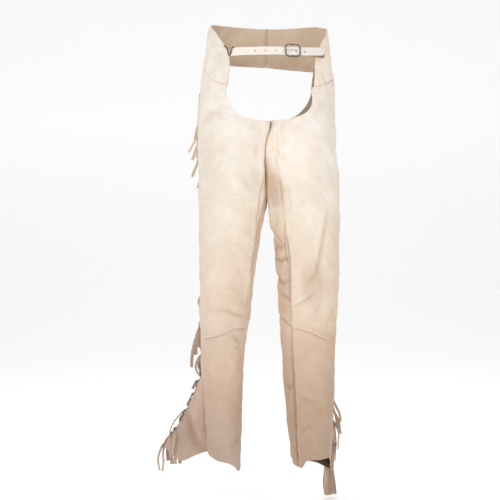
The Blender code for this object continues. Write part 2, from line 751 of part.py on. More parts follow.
def billet(finish):
    """Make the short strap that holds the buckle to the left yoke, under the strap's point."""
    angles = np.linspace(BILLET_FROM_ANGLE, BILLET_TO_ANGLE, 14)
    lifts = [SEAM_GAP] * len(angles)
    band("belt_billet", angles, [BILLET_WIDE / 2] * len(angles), lifts, STRAP_THICK, finish)


def buckle_frame_ways():
    """Return the buckle's middle on the waist, and its ways along the strap, up and outward."""
    centre = waist(BUCKLE_ANGLE, 0.0, 0.0)
    along = unit(waist(BUCKLE_ANGLE + 1, 0.0, 0.0) - waist(BUCKLE_ANGLE - 1, 0.0, 0.0))
    up = unit(waist(BUCKLE_ANGLE, 5.0, 0.0) - waist(BUCKLE_ANGLE, -5.0, 0.0))
    return centre, along, up, unit(np.cross(up, along))


def buckle_point(along, height, lift):
    """Return a point near the buckle: along runs from its middle towards the wearer's right."""
    centre, along_way, up_way, out_way = buckle_frame_ways()
    return centre + along_way * along + up_way * height + out_way * lift


def buckle(finish):
    """Make the buckle: a rounded wire frame with a bar that passes behind the strap."""
    path = []
    corner_steps = 4
    reach = BUCKLE_LONG / 2 - BUCKLE_WIRE - BUCKLE_CORNER
    rise = BUCKLE_HIGH / 2 - BUCKLE_WIRE - BUCKLE_CORNER
    for quarter, (along_side, up_side) in enumerate(((1, 1), (-1, 1), (-1, -1), (1, -1))):
        for step in range(corner_steps + 1):
            turn = math.radians(90 * quarter + 90 * step / corner_steps)
            path.append(buckle_point(along_side * reach + BUCKLE_CORNER * math.cos(turn),
                                     up_side * rise + BUCKLE_CORNER * math.sin(turn), BUCKLE_LIFT))
    frame = tube("buckle_frame", path, BUCKLE_WIRE, 8, finish, closed=True)
    end = BUCKLE_HIGH / 2 - BUCKLE_WIRE
    bend = STRAP_WIDE / 2 + BAR_WIRE + SEAM_GAP
    bar_path = [buckle_point(0, height, lift) for height, lift in (
        (end, BUCKLE_LIFT), (bend, BAR_LIFT), (0, BAR_LIFT), (-bend, BAR_LIFT), (-end, BUCKLE_LIFT))]
    bar = tube("buckle_bar", bar_path, BAR_WIRE, 6, finish)
    boolean(frame, bar, "UNION")


def prong(finish):
    """Make the buckle's prong: up through a hole of the strap, then over to the frame."""
    hole = waist(waist_angle(HOLE_DISTANCES[4]), 0.0, 0.0)
    centre, along_way, _, _ = buckle_frame_ways()
    at_hole = float(np.dot(hole - centre, along_way))
    root = -(BAR_WIRE + PRONG_WIRE + SEAM_GAP)
    rest = BUCKLE_LONG / 2 - BUCKLE_WIRE
    top = BUCKLE_LIFT + BUCKLE_WIRE + PRONG_WIRE + SEAM_GAP
    path = [buckle_point(along, 0.0, lift) for along, lift in (
        (root, BAR_LIFT), (at_hole + 1.6, BAR_LIFT + 0.2), (at_hole, 6.2), (at_hole, 8.4),
        (at_hole + 1.6, top), (0.0, top + 0.4), (rest + 1.0, top))]
    tube("buckle_prong", path, PRONG_WIRE, 6, finish)


def hook(finish):
    """Make the bent wire that hooks the strap to the front edge of the right yoke."""
    path = [waist(waist_angle(x, height), height, lift) for x, height, lift in HOOK_BENDS]
    tube("hook", path, HOOK_WIRE, 8, finish)


def main():
    for old in list(bpy.data.objects):
        bpy.data.objects.remove(old)
    finishes = {
        "yoke": material("yoke_suede", (0.84, 0.75, 0.65), 0.92),
        "thigh": material("thigh_suede", (0.87, 0.78, 0.68), 0.93),
        "shin": material("shin_suede", (0.60, 0.48, 0.38), 0.95),
    }
    strap_leather = material("strap_leather", (0.85, 0.77, 0.69), 0.7)
    nickel = material("nickel", (0.62, 0.60, 0.57), 0.28, 1.0)
    wire = material("dark_wire", (0.16, 0.14, 0.13), 0.4, 1.0)
    for side in SIGN:
        leg(side, finishes)
        for name, top, bottom in FRINGE_NODES[side]:
            fringe(name, side, top, bottom, finishes["shin"])
    strap(strap_leather)
    billet(strap_leather)
    buckle(nickel)
    prong(nickel)
    hook(wire)


main()
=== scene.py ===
"""Suede chaps with fringed outseams, dressed for a studio picture.

The panels lie on the skin surface of the frame, with seams, folds and creases of their own. Sizes
are in millimetres and MM turns them into metres. X runs from the wearer's right to the left, Y to
the back and Z up. A side's own points have X outward from the middle plane until they are placed.
"""

import math
import random

import bmesh
import bpy
import numpy as np
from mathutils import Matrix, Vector


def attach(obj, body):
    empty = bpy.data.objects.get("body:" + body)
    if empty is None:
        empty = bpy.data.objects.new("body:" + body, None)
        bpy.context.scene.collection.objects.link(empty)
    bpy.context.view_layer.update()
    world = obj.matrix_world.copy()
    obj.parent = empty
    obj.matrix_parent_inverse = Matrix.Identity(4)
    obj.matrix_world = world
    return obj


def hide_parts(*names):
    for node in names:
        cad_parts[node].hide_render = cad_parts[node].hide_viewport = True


MM = 0.001
SUEDE = 2.0
SEAM_GAP = 0.3
SIGN = {"right": -1, "left": 1}

# Cells of the fine grids.
SCOOP_ROWS = 45
INSEAM_ROWS = 90
SHIN_ROWS = 81
YOKE_ROWS = 28
FRONT_COLUMNS = 78
BACK_COLUMNS = 65
BAND_COLUMNS = 32

# One row for each level section of the legs: its height, its front and back depth, how square its inner
# and outer halves are, and how far each leg's outer and inner sides lie from the middle plane.
SECTIONS = [
    # height, front, back, square_in, square_out, right outer, right inner, left outer, left inner
    (80, 84, 88, 2.0, 2.0, 126, -10, 132, 13),
    (50, 90, 95, 2.0, 2.0, 140, -10, 144, 13),
    (0, 100, 106, 2.0, 2.0, 148, -10, 150, 13),
    (-80, 106, 122, 2.2, 2.0, 159, -10, 158, 13),
    (-130, 105, 127, 2.7, 2.1, 165, -10, 161, 13),
    (-172, 104, 125, 2.9, 2.1, 167, -10, 162, 13),
    (-215, 100, 114, 2.9, 2.1, 167, 0, 164, 2),
    (-262, 96, 102, 2.8, 2.1, 166, 8, 168, -5),
    (-350, 90, 88, 2.5, 2.1, 165, 1, 172, 5),
    (-440, 85, 78, 2.4, 2.2, 164, 16, 173, 12),
    (-530, 79, 71, 2.3, 2.3, 163, 30, 171, 20),
    (-640, 74, 66, 2.3, 2.4, 162, 43, 166, 29),
    (-740, 66, 68, 2.3, 2.5, 158, 57, 161, 35),
    (-860, 60, 70, 2.3, 2.5, 152, 62, 158, 45),
    (-1020, 56, 64, 2.3, 2.4, 139, 66, 145, 60),
]

# Between these heights the two leg sections become the halves of one hip oval.
HIP_LEVELS = (-225, -100)
# Towards the crotch the inner side of each leg keeps its own section, between these angles and heights.
CROTCH_TURNS = (120, 175)
CROTCH_LEVELS = (-60, -140)
# A degree round a leg counts as this many millimetres for folds and creases.
ARC_PER_DEGREE = 1.45
# What a degree and a millimetre of height count where points are spaced along an edge.
EDGE_SCALE = (1.3, 1.0)

# Angles run round a leg in degrees: 0 outside, 90 in front, 180 inside and -90 behind.
OUTSEAM = {
    # height, angle
    "right": [(80, -12), (-40, -15), (-200, -24), (-700, -30), (-1020, -30)],
    "left": [(80, -12), (-60, -15), (-200, -26), (-700, -42), (-1020, -48)],
}
INSEAM = {
    # height, angle
    "right": [(-174, 165), (-225, 157), (-300, 146), (-361, 132), (-453, 139), (-573, 142), (-655, 155),
              (-740, 168), (-1020, 170)],
    "left": [(-175, 157), (-235, 138), (-317, 123), (-422, 122), (-500, 117), (-620, 121), (-785, 118),
             (-937, 122), (-1020, 122)],
}
YOKE_SEAM = {
    # angle, height
    "right": [(-180, -24), (-85, -22), (-15, -26), (18, -38), (44, -55), (78, -77), (95, -85), (106.5, -88)],
    "left": [(-180, -24), (-85, -40), (-15, -56), (21, -68), (54, -79), (76, -88), (95, -93.5)],
}
YOKE_TOP = {
    # angle, height
    "right": [(-180, 66), (-90, 68), (-40, 66), (0, 60), (33, 50), (58, 37), (79, 17), (91, 2), (102, -15)],
    "left": [(-180, 66), (-90, 66), (-40, 60), (0, 50), (21, 44), (43, 26), (56, 17), (66, 5), (84, -24)],
}
KNEE_SEAM = {
    # angle, height
    "right": [(-207, -657), (-150, -632), (-90, -628), (-30, -650), (26, -675), (42, -684), (75, -680),
              (93, -670), (115, -661), (153, -661)],
    "left": [(-237, -655), (-191, -628), (-100, -625), (-42, -650), (25, -675), (40, -680), (55, -687),
             (78, -677), (96, -666), (121, -659)],
}
HEM = {
    # angle, height
    "right": [(-192, -1003), (-150, -988), (-100, -974), (-55, -966), (-30, -959), (-22, -977), (-14, -989),
              (-4, -974), (6, -962), (24, -964), (74, -978), (102, -983), (122, -990), (147, -1003),
              (168, -1006)],
    "left": [(-238, -994), (-206, -987), (-192, -977), (-150, -984), (-90, -1002), (-48, -1028), (-20, -998),
             (5, -976), (21, -972), (60, -974), (96, -976), (104, -980), (111, -990), (122, -994)],
}
YOKE_EDGE = {
    # height, angle
    "right": [(-15, 102), (-34, 108), (-56, 109.5), (-88, 106.5)],
    "left": [(-24, 84), (-57, 90.5), (-93.5, 95)],
}
FRONT_SCOOP = {
    # angle, height
    "right": [(106.5, -88), (105, -112), (104.5, -131), (105.5, -150), (110, -165), (121, -171),
              (134, -174.5), (148, -175.5), (165, -174)],
    "left": [(95, -93.5), (101, -110), (96, -126), (94, -141), (98, -156), (110, -167), (130, -173),
             (157, -175)],
}
SEAT_SCOOP = {
    # angle, height
    "right": [(-85, -22), (-91, -70), (-101, -115), (-117, -150), (-140, -169), (-165, -174), (-195, -174)],
    "left": [(-85, -40), (-91, -80), (-101, -118), (-117, -146), (-140, -160), (-165, -168), (-203, -175)],
}
BACK_CORNER = -85
CROTCH_LEVEL = -265
# The angles from which the crossings of the seams are sought, and how often each is bettered.
OUTSEAM_NEAR = -30
INSEAM_NEAR = 150
CROSSING_ROUNDS = 30

# The shin widens towards the hem into a flare that carries the outseam on its tip.
FLARE_REACH = {
    # height, reach
    "right": [(-690, 0), (-770, 4), (-800, 17), (-850, 38), (-900, 70), (-950, 112), (-1020, 122)],
    "left": [(-690, 0), (-760, 5), (-820, 20), (-880, 42), (-940, 68), (-1020, 104)],
}
FLARE_TURNED = 40
FLARE = {
    # heading in plan (0 sideways, -90 straight back), front angle, back angle
    "right": {"heading": -4, "front": 6, "back": -105},
    "left": {"heading": -74, "front": 4, "back": -112},
}

# The largest folds, as in the solids: soft troughs (negative) and ridges along a line on the skin.
FOLDS = {
    "right": [
        # angle_a, height_a, angle_b, height_b, width, depth
        (118, -560, 160, -618, 26, -4),
        (20, -250, 120, -205, 40, -3),
        (-60, -640, -130, -610, 30, -6),
        (-70, -300, -120, -230, 34, -6),
        (0, -860, -24, -955, 24, -7),
    ],
    "left": [
        (60, -392, 100, -560, 30, -6),
        (90, -588, 128, -640, 22, -4),
        (126, -455, 165, -470, 26, -5),
        (126, -540, 168, -562, 26, -5),
        (128, -240, 172, -330, 28, -5),
        (-60, -640, -130, -610, 30, -6),
        (-70, -300, -120, -230, 34, -6),
    ],
}

# Creases: a line of (angle, height) points, the half width of the trough, its depth, and the height
# of the ridge beside it. The ridge lies to the right of the way along the line, or to the left of it
# where it is negative.
CREASES = {
    "right": [
        ([(72, -617), (93, -621), (112, -631), (138, -638)], 5, 2.6, 1.2),
        ([(104, -681), (122, -687), (141, -699)], 5, 1.4, 0.6),
        ([(114, -704), (128, -712), (145, -721)], 5, 1.3, 0.6),
        ([(40, -172), (66, -161), (96, -150)], 12, 1.2, -1.0),
        ([(120, -934), (146, -930), (168, -921)], 9, 1.8, -1.0),
        ([(-28, -868), (-18, -896), (-8, -925), (3, -962)], 8, 4.6, -2.6),
        ([(26, -774), (12, -812), (5, -856), (5, -910), (14, -956)], 9, 3.2, 1.4),
        ([(96, -300), (112, -330), (128, -342)], 9, 1.2, 0.6),
        ([(100, -420), (118, -438), (134, -441)], 8, 1.2, 0.5),
        ([(-60, -200), (-96, -188), (-130, -196)], 9, 2.2, 1.2),
        ([(-50, -618), (-90, -607), (-140, -616)], 6, 2.6, 1.2),
        ([(-60, -652), (-100, -644), (-150, -650)], 7, 2.0, 1.0),
        ([(-120, -596), (-150, -590), (-176, -598)], 6, 1.8, 0.8),
        ([(-66, -760), (-96, -790), (-120, -800)], 9, 1.6, 0.8),
        ([(-150, -300), (-170, -340), (-190, -360)], 10, 2.0, 1.0),
        ([(-60, -420), (-80, -470), (-90, -520)], 12, 1.6, 0.8),
        ([(-162, -60), (-162, -240), (-162, -370)], 13, -5.5, 0.0),
        ([(150, -100), (150, -235), (147, -350)], 15, -6.0, 0.0),
        ([(4, -690), (4, -780), (5, -860), (6, -940), (8, -980)], 4.0, 4.4, -2.2),
        ([(166, -270), (158, -340), (152, -420), (150, -520), (162, -600)], 9, 2.6, 0.8),
    ],
    "left": [
        ([(162, -20), (162, -230), (163, -330), (166, -425)], 13, -7.0, 0.0),
        ([(165, -220), (166, -330), (168, -425)], 13, -5.0, 0.0),
        ([(150, -60), (150, -230), (146, -300)], 15, -4.5, 0.0),
        ([(130, -455), (127, -530), (130, -640)], 4, 2.8, 0.8),
        ([(124, -663), (140, -651), (158, -637), (172, -631)], 2.4, 2.8, 0.6),
        ([(129, -670), (127, -780), (130, -870), (131, -975)], 6, 3.0, 0.6),
        ([(53, -386), (64, -455), (78, -527), (93, -562)], 6.0, 3.2, -1.8),
        ([(121, -612), (108, -604), (95, -597), (80, -574)], 3.0, 3.2, 2.2),
        ([(92, -643), (80, -620), (70, -594)], 8, 1.2, 1.0),
        ([(60, -657), (50, -638), (40, -618)], 8, 1.2, 1.0),
        ([(114, -826), (98, -831), (82, -838)], 6, 1.6, 0.7),
        ([(119, -910), (102, -899), (86, -890)], 6, 1.4, 0.7),
        ([(176, -412), (157, -434), (142, -459)], 3.2, 6.0, 3.0),
        ([(117, -250), (112, -262), (107, -272)], 5, 1.2, 0.5),
        ([(112, -318), (114, -352), (111, -386)], 4, 1.2, 0.6),
        ([(126, -322), (129, -352), (126, -384)], 4, 1.4, 0.6),
        ([(138, -316), (142, -346), (140, -380)], 4, 1.3, 0.6),
        ([(152, -330), (154, -356), (150, -388)], 4, 1.2, 0.6),
        ([(124, -420), (133, -470), (128, -500)], 4, 2.6, 1.2),
        ([(122, -512), (130, -499), (146, -506), (172, -498)], 3.4, 5.2, 2.6),
        ([(128, -470), (146, -474), (172, -466)], 6, 3.2, 2.2),
        ([(126, -552), (146, -560), (172, -548)], 5, 3.6, 2.0),
        ([(126, -600), (142, -588), (160, -574)], 5, 3.2, 1.6),
        ([(128, -800), (146, -806), (166, -800)], 5, 2.4, 1.0),
        ([(132, -238), (128, -250), (122, -258)], 4, 1.4, 0.8),
        ([(166, -424), (194, -420)], 6, -3.8, 0.0),
        ([(166, -441), (194, -446)], 6, 4.6, 0.0),
        ([(164, -483), (196, -484)], 9, 8.0, 0.0),
        ([(164, -546), (196, -548)], 9, 8.0, 0.0),
        ([(30, -150), (60, -140), (86, -146)], 12, 1.0, 0.8),
        ([(-60, -206), (-96, -192), (-130, -200)], 9, 2.2, 1.2),
        ([(-50, -612), (-90, -603), (-140, -612)], 6, 2.6, 1.2),
        ([(-60, -650), (-100, -640), (-150, -648)], 7, 2.0, 1.0),
        ([(-66, -770), (-96, -798), (-120, -806)], 9, 1.6, 0.8),
        ([(-150, -300), (-170, -340), (-190, -360)], 10, 2.0, 1.0),
        ([(-60, -430), (-80, -480), (-90, -530)], 12, 1.6, 0.8),
    ],
}

# The share of a fold's depth that is left at its ends, and how blunt the ends of a crease are.
FOLD_END = 0.35
CREASE_BLUNT = 0.06
CREASE_POWER = 0.7
# A crease's ridge: how far off it lies, how wide it is and how far it runs on, in widths of the crease.
RIDGE_OFF = 1.9
RIDGE_WIDE = 1.2
RIDGE_PAST = 1.5

# The hide never lies quite smooth: low waves round and down each leg, from a fixed seed.
RIPPLE_SEED = {"right": 5, "left": 11}
RIPPLES = [
    # count, fewest and most waves round a leg, longest and shortest wave down it, height of each
    (6, 2, 6, 260, 90, 0.50),
    (8, 5, 14, 90, 34, 0.22),
    (8, 14, 30, 40, 16, 0.10),
]

# How each border of a panel is sewn: how high it is raised, how far it reaches past the seam,
# whether it is paler on top (1), partly from wear and partly a painted highlight on its raised edge,
# or under a painted shadow beneath the edge above it (-1), and how far that painted shade fades out.
OVER = (1.1, 2.4, 1.0, 2.6)
UNDER = (-1.45, 3.6, -1.0, 2.6)
UNDER_INSEAM = (-1.45, 3.6, -1.0, 8.0)
FREE = (0.0, -0.8, 0.4, 2.6)
BUTTED = (0.9, -0.2, 0.0, 2.6)
# The shade of the yoke's seam grows wider between these angles.
YOKE_SEAM_TURNS = (80, 30)
YOKE_SEAM_WIDER = 3.4
# How plainly the inseam shows: the strength of its painted shadow, by height.
INSEAM_SHOWN = {
    # height, share
    "right": [(-180, 0.8), (-420, 0.9), (-700, 1.0)],
    "left": [(-180, 0.1), (-390, 0.15), (-470, 0.9), (-700, 1.0)],
}
# The lift of a border fades out between these distances from it.
SEAM_FADE = (12.0, 5.0)
# The over panel's edge ends this far in from the under panel's seam line, and its shade fades past it.
SHADE_FROM = 3.0
# Both yokes lie alike past these angles and heights, beside the seam at the middle back.
JOINED_TURNS = (163, 175)
JOINED_LEVELS = (-150, -120)
# The cells next to each border are cut into these shares of a cell.
FINE_STEPS = (0, 0.3, 0.6, 0.9, 1.2, 1.55, 1.95, 2.4)
# The rounded rim of a wall.
RIM_STEPS = 3
RIM_OUT = 0.8

STITCH_PITCH = 4.2
STITCH_LENGTH = 3.0
STITCH_RADIUS = 0.42
STITCH_SIDES = 6
STITCH_FROM_EDGE = 3.2
STITCH_RINGS = [
    # share of the stitch's length, share of its radius, lift
    (-0.5, 0.35, -0.35), (-0.3, 0.9, 0.0), (0.0, 1.0, 0.12), (0.3, 0.9, 0.0), (0.5, 0.35, -0.35),
]
SEWN = [
    # seam, slot, the panels and borders that its stitches run along
    ("yoke", "yoke_suede", [("yoke", "bottom"), ("yoke", "first")]),
    ("knee", "thigh_suede", [("front_thigh", "bottom"), ("back_thigh", "bottom")]),
    ("inseam", "thigh_suede", [("front_thigh", "last"), ("front_shin", "last")]),
]

# Fringe: strands hang from a strip in the outseam.
STRIP_REACH = 6.0
STRIP_THICK = 1.5
STRAND_PITCH = 11.0
STRAND_WIDE = 7.0
STRAND_THICK = 1.0
STRAND_SEGMENTS = 14
STRIP_STEP = 4.0
STRIP_TONE = 0.5
FRINGE_SEED = 20
# How far the strip's own direction is taken over, up and down the seam.
SEAM_SPAN = 12.0
# A strand starts this far inside the strip's edge, and hangs from this far outside it.
ROOT_IN = 1.5
ROOT_OUT = 2.5
# How far a strand's middle may bulge, and how far one is kicked out that lies on the leather's front.
CUP = 0.8
FRONT_KICK = 7.0
# Curl and wave of a strand: the most, and the fewest and most turns.
CURL = (2.5, 0.7, 1.3)
WAVE = (2.0, 0.8, 1.6)
# The other chances of a hidden strand, in the order in which they are drawn. Length, back and wide are
# shares: of the usual length, of the strand's own length and of the usual width.
CHANCES = {
    "kick": (2, 9), "length": (0.86, 1.06), "lean": (-2, 2), "bow": (-2, 2), "back": (0.18, 0.32),
    "turn": (-60, 60), "wide": (0.82, 1.0), "twist": (-35, 35), "tone": (0.3, 1),
}
# Shares of a strand's length: where it is kicked and how widely, and by where it has come round to the
# front, has turned, is cupped and has lost the painted shade at its root.
KICKED = (0.1, 0.08)
ROUND_BY = 0.24
TURNED_BY = 0.3
CUPPED_BY = 0.5
LIGHT_BY = 0.4
# How much narrower a strand is at its tip, and how uneven its width is.
TAPER = 0.12
UNEVEN = 0.05
FRINGE_NODES = {
    # name, height of its upper end, height of its lower end
    "right": [("right_fringe_upper", -72, -560), ("right_fringe_lower", -565, -953)],
    "left": [("left_fringe_upper", -92, -560), ("left_fringe_lower", -565, -1022)],
}
# The strip is folded back behind the outseam by this turn.
STRIP_FOLD = {
    # height, degrees
    "right": [(0, 82), (-1020, 82)],
    "left": [(0, 76), (-800, 76), (-850, 20), (-1020, 20)],
}
STRAND_LENGTH = {
    # height, length
    "right": [(-60, 88), (-150, 96), (-780, 94), (-870, 88), (-925, 84), (-953, 66)],
    "left": [(-60, 90), (-150, 98), (-1022, 98)],
}
# Strands that show past the leather's edge. The others hang behind it, each with chances of its own.
# A strand's tone is partly its own and partly painted shade: the lowest and negative tones darken
# strands that hang back in shadow, so the gaps between strands look dark.
SHOWN_STRANDS = {
    # root height, length, lean out at the tip, bow out halfway, back at the tip, turn, width, tone
    "right": [
        (-170, 42, 14, 3, 4, 10, 8.0, 0.7), (-177, 67, 31, -2, 4, 20, 6.5, 0.9),
        (-182, 60, 9, 4, 6, 30, 7.0, -0.5), (-188, 67, 12, 2, 6, 50, 6.5, 0.4),
        (-194, 52, 8, 5, 6, 20, 6.5, -0.2), (-200, 61, 23, 1, 2, 0, 8.0, 0.9),
        (-233, 46, 14, 2, 5, 40, 6.0, 0.4),
        (-244, 56, 26, 1, 2, -10, 7.5, 0.9), (-288, 40, 12, 1, 5, 20, 6.0, 0.5),
        (-582, 44, 5, 10, 6, 10, 8.0, 0.4), (-637, 50, 10, 5, 8, 20, 8.0, 0.4),
        (-646, 119, 31, 8, 4, -10, 9.5, 0.9), (-655, 56, 15, 6, 6, 40, 8.0, 0.1),
        (-661, 74, 19, 8, 8, 10, 9.0, 0.6), (-670, 47, 14, 5, 8, 30, 8.0, 0.2),
        (-681, 37, 12, 4, 6, 50, 7.0, 0.0), (-692, 34, 9, 3, 10, -40, 7.0, 0.1),
        (-726, 64, 9, 16, 4, 20, 6.5, 0.4), (-732, 46, 6, 8, 12, 10, 8.0, 0.1),
        (-737, 44, 4, 12, 8, 50, 5.5, 0.3), (-748, 40, 7, 6, 12, 30, 7.0, 0.1),
        (-794, 24, 16, 3, 3, 0, 8.5, 0.0), (-825, 33, 14, 5, 2, 50, 6.0, 0.3),
        (-840, 20, 11, 3, 4, 0, 7.0, 0.1), (-863, 62, 45, 8, 0, 50, 5.5, 0.5),
        (-878, 22, 14, 2, 2, 0, 7.0, 0.1), (-903, 101, 0, 2, 20, 10, 9.5, 0.5),
        (-909, 66, 10, 2, -34, 20, 6.0, 0.8), (-914.5, 90, 0, 1, 18, -10, 9.5, 0.8),
        (-920, 62, 4, 2, -32, -20, 6.0, 0.7), (-926, 79, -1, 2, 18, 15, 9.5, 0.4),
        (-931, 66, -2, 1, 30, 10, 9.5, -0.7), (-936, 60, -2, 2, 16, -10, 9.0, 0.1),
        (-946, 71, 13, 9, 0, 20, 6.0, 0.8), (-952, 67, 2, 1, 2, 30, 5.5, 0.6),
    ],
    "left": [
        (-838, 69, 29, 6, 10, 0, 6.5, 0.9), (-849, 76, 22, 3, 14, 40, 6.5, 0.3),
        (-860, 78, 30, 5, 12, -20, 6.5, 0.7), (-866, 80, 9, 3, 20, 25, 7.0, 0.1),
        (-871, 92, 14, 3, 16, 30, 7.0, 0.8), (-882, 88, 17, 4, 14, -30, 7.0, 0.7),
        (-888, 74, 7, 4, 22, -25, 7.5, -0.7), (-894, 85, 20, 12, 10, 50, 6.0, 0.9),
        (-899, 90, 5, 3, 24, 20, 7.5, 0.2), (-905, 86, 12, 6, 14, 10, 7.0, 0.9),
        (-910, 70, 8, 4, 24, 30, 7.0, -0.7), (-916, 98, 10, 2, 18, -20, 7.0, 0.9),
        (-921, 80, 4, 3, 26, -20, 7.5, 0.1), (-927, 83, 15, 3, 16, 40, 6.5, 0.5),
        (-932, 74, 6, 2, 24, 30, 7.0, -0.7), (-938, 96, 8, 2, 22, -10, 6.5, 1.0),
        (-946, 153, -11, -5, 30, 24, 7.4, 0.9), (-950, 143, -10, -5, 44, 0, 8.0, -0.7),
        (-954, 146, -8, -5, 26, -28, 7.4, 0.7), (-962, 137, -5, -4, 32, 26, 7.4, 1.0),
        (-966, 129, -4, -3, 46, 0, 8.0, -0.7), (-970, 131, -2, -3, 26, -25, 7.4, 0.7),
        (-978, 122, 1, -2, 32, 28, 7.4, 1.0), (-982, 114, 2, -1, 46, 0, 8.0, -0.7),
        (-986, 115, 4, -1, 26, -28, 7.4, 0.8), (-994, 106, 8, 1, 32, 25, 7.4, 1.0),
        (-998, 97, 8, 1, 46, 0, 8.0, -0.7), (-1002, 99, 11, 2, 26, -24, 7.4, 0.7),
        (-1010, 90, 14, 2, 34, 30, 7.0, 1.0), (-1018, 83, 15, 1, 29, -20, 7.0, 0.7),
    ],
}
SHOWN_NEAR = 5.6
# Hidden strands with their roots above this height hang more upright than the slanting seam, and clear
# of the leather, which swells out below them.
SWELL_BELOW = -300
SWELL_RISE = 100
SWELL_GAP = 3.4
UPRIGHT_SHARE = 0.65
# The angles at which the leather is looked at for this, from the front round to the back.
OUTER_TURNS = np.linspace(60, -90, 151)

# The strap across the front. Angles here run round the waist: 0 at the left side, 90 in front.
STRAP_HEIGHT = -16.0
STRAP_WIDE = 20.8
STRAP_THICK = 2.0
STRAP_TIP_ANGLE = 26.5
# The strap rises towards its point.
STRAP_RISE_FROM = 62.0
STRAP_TIP_RISE = 5.0
STRAP_END_ANGLE = 125.0
STRAP_POINT_LENGTH = 19.0
STRAP_POINT_SHARE = 0.06
LEAST_HALF_WIDTH = 0.3
WAIST_RADIUS = 125.0
STRAP_STATIONS = 180
STRAP_ROWS = 8
STRAP_LIFT = 2.6
STRAP_LIFT_END = 0.4
# The strap comes off the waist between these distances from the middle plane.
STRAP_LIFTED = (-60.0, 30.0)
HOLE_DISTANCES = (-29.9, -6.0, 18.1, 41.6, 63.3, 84.6)
HOLE_RADIUS = 2.1
HOLE_SIDES = 20
HOLE_PAST = 3.0
BILLET_WIDE = 20.0
BILLET_FROM_ANGLE = 30.5
BILLET_TO_ANGLE = 70.5
BILLET_STATIONS = 60
BUCKLE_ANGLE = 68.5
BUCKLE_LONG = 38.0
BUCKLE_HIGH = 32.0
BUCKLE_CORNER = 10.0
CORNER_STEPS = 10
BUCKLE_WIRE = 1.3
BUCKLE_LIFT = 7.9
BAR_WIRE = 1.2
BAR_LIFT = 3.85
BULGE_HEIGHT = 3.7
BULGE_WIDE = 12.0
BULGE_OFF = 4.0
PRONG_WIRE = 0.9
HOOK_WIRE = 1.25
# How far the bar's bends stand past the strap, and how far they are spread.
BAR_ROOM = 0.6
BAR_KNEE = 1.6
WIRE_SIDES = {"ring": 16, "bar": 14, "prong": 12, "hook": 14}
WIRE_STEPS = {"bar": 36, "prong": 60, "hook": 60}
# Edges sharper than these angles stay sharp.
SHARP = {"strand": 40, "metal": 45, "strap": 50}
HOOK_BENDS = [
    # distance from the middle plane, height from the strap's middle, lift off the waist
    (-102.0, 15.2, 1.9), (-98.3, 13.4, 1.9), (-94.6, 9.4, 1.9), (-92.6, 0.5, 2.1), (-91.6, -5.0, 2.5),
    (-88.8, -8.2, 3.2), (-85.9, -5.0, 3.9), (-84.4, 0.5, 4.2), (-82.4, 8.2, 4.2), (-77.6, 11.4, 4.2),
]

# Patches of painted shade, with soft edges: where shade falls on the inner sides between the legs,
# beside folds and at the flare's edge.
SHADE_PATCHES = {
    "right": [
        # angle, height, half turn, half height, strength, share of it on the front panel
        (172, -440, 30, 170, 0.5, 0), (165, -640, 20, 60, 0.2, 0), (-3, -890, 9, 90, 0.6, 0.5),
    ],
    "left": [
        (143, -338, 25, 42, 1.1, 1), (150, -540, 36, 120, 0.8, 0), (84, -560, 18, 56, 0.7, 1),
        (150, -800, 34, 220, 0.1, 0), (-34, -930, 20, 90, 0.8, 1),
    ],
}

# A patch fades out between these shares of its size.
SHADE_PATCH_FADE = (1.3, 0.55)

# Tone of the hide down each leg, as red, green and blue of 255. It grows darker towards the hem,
# partly as the hide's own tone and partly as painted shade where the light falls off lower down. The
# left yoke is made lighter as painted light, where the lamps reach it less.
TONES = {
    "right": [
        # height, red, green, blue
        (70, 242, 232, 223), (-30, 248, 240, 231), (-150, 246, 237, 228), (-260, 243, 235, 224),
        (-400, 238, 225, 208), (-560, 234, 216, 199), (-660, 227, 205, 187), (-690, 220, 198, 179),
        (-760, 216, 190, 170), (-830, 205, 178, 157), (-900, 195, 171, 154), (-1020, 188, 166, 151),
    ],
    "left": [
        (70, 249, 232, 213), (-30, 250, 234, 216), (-120, 250, 241, 233), (-260, 247, 237, 226),
        (-400, 241, 229, 213), (-560, 235, 218, 200), (-655, 231, 210, 190), (-685, 218, 192, 172),
        (-760, 207, 180, 158), (-830, 196, 169, 148), (-930, 189, 163, 144), (-1020, 189, 164, 146),
    ],
}
# The fringe's tone down the leg grows darker towards the knee and hem, partly as its own tone and partly as
# painted shade where the light falls off lower down.
FRINGE_TONES = [
    # height, red, green, blue
    (60, 232, 216, 198), (-150, 228, 208, 188), (-350, 222, 200, 179), (-700, 208, 183, 162),
    (-860, 198, 174, 154), (-960, 198, 174, 155), (-1090, 210, 186, 166),
]
THREAD_TONES = ((196, 172, 148), (222, 200, 176))
UNTINTED = (1.0, 1.0, 1.0)
TAN_TINT = (0.976, 0.948, 0.912)
CREAM_TINT = (1.022, 1.028, 1.038)
# The tint of the patches of painted shade.
SHADE_PATCH_TINT = (0.830, 0.755, 0.712)
# The flesh side: its share of the outside's tone, and the share of blue that is left in it. The shin's
# low shares are painted shade: its inside is seen in shadow through the hem, darker and warmer.
LINING = {"yoke": (0.90, 0.93), "thigh": (0.82, 0.93), "shin": (0.55, 0.68)}
# Painted shade: the warm tint of the deepest creases.
CREASE_TINT = (0.66, 0.55, 0.47)
# The painted shadow under a lapped seam's edge, and the lightening of the edge on top, partly wear and
# partly painted highlight.
SEAM_TINT = (0.47, 0.39, 0.34)
SEAM_LIGHT = 1.05
TONE_TOP = 80
TONE_LOW = -1100

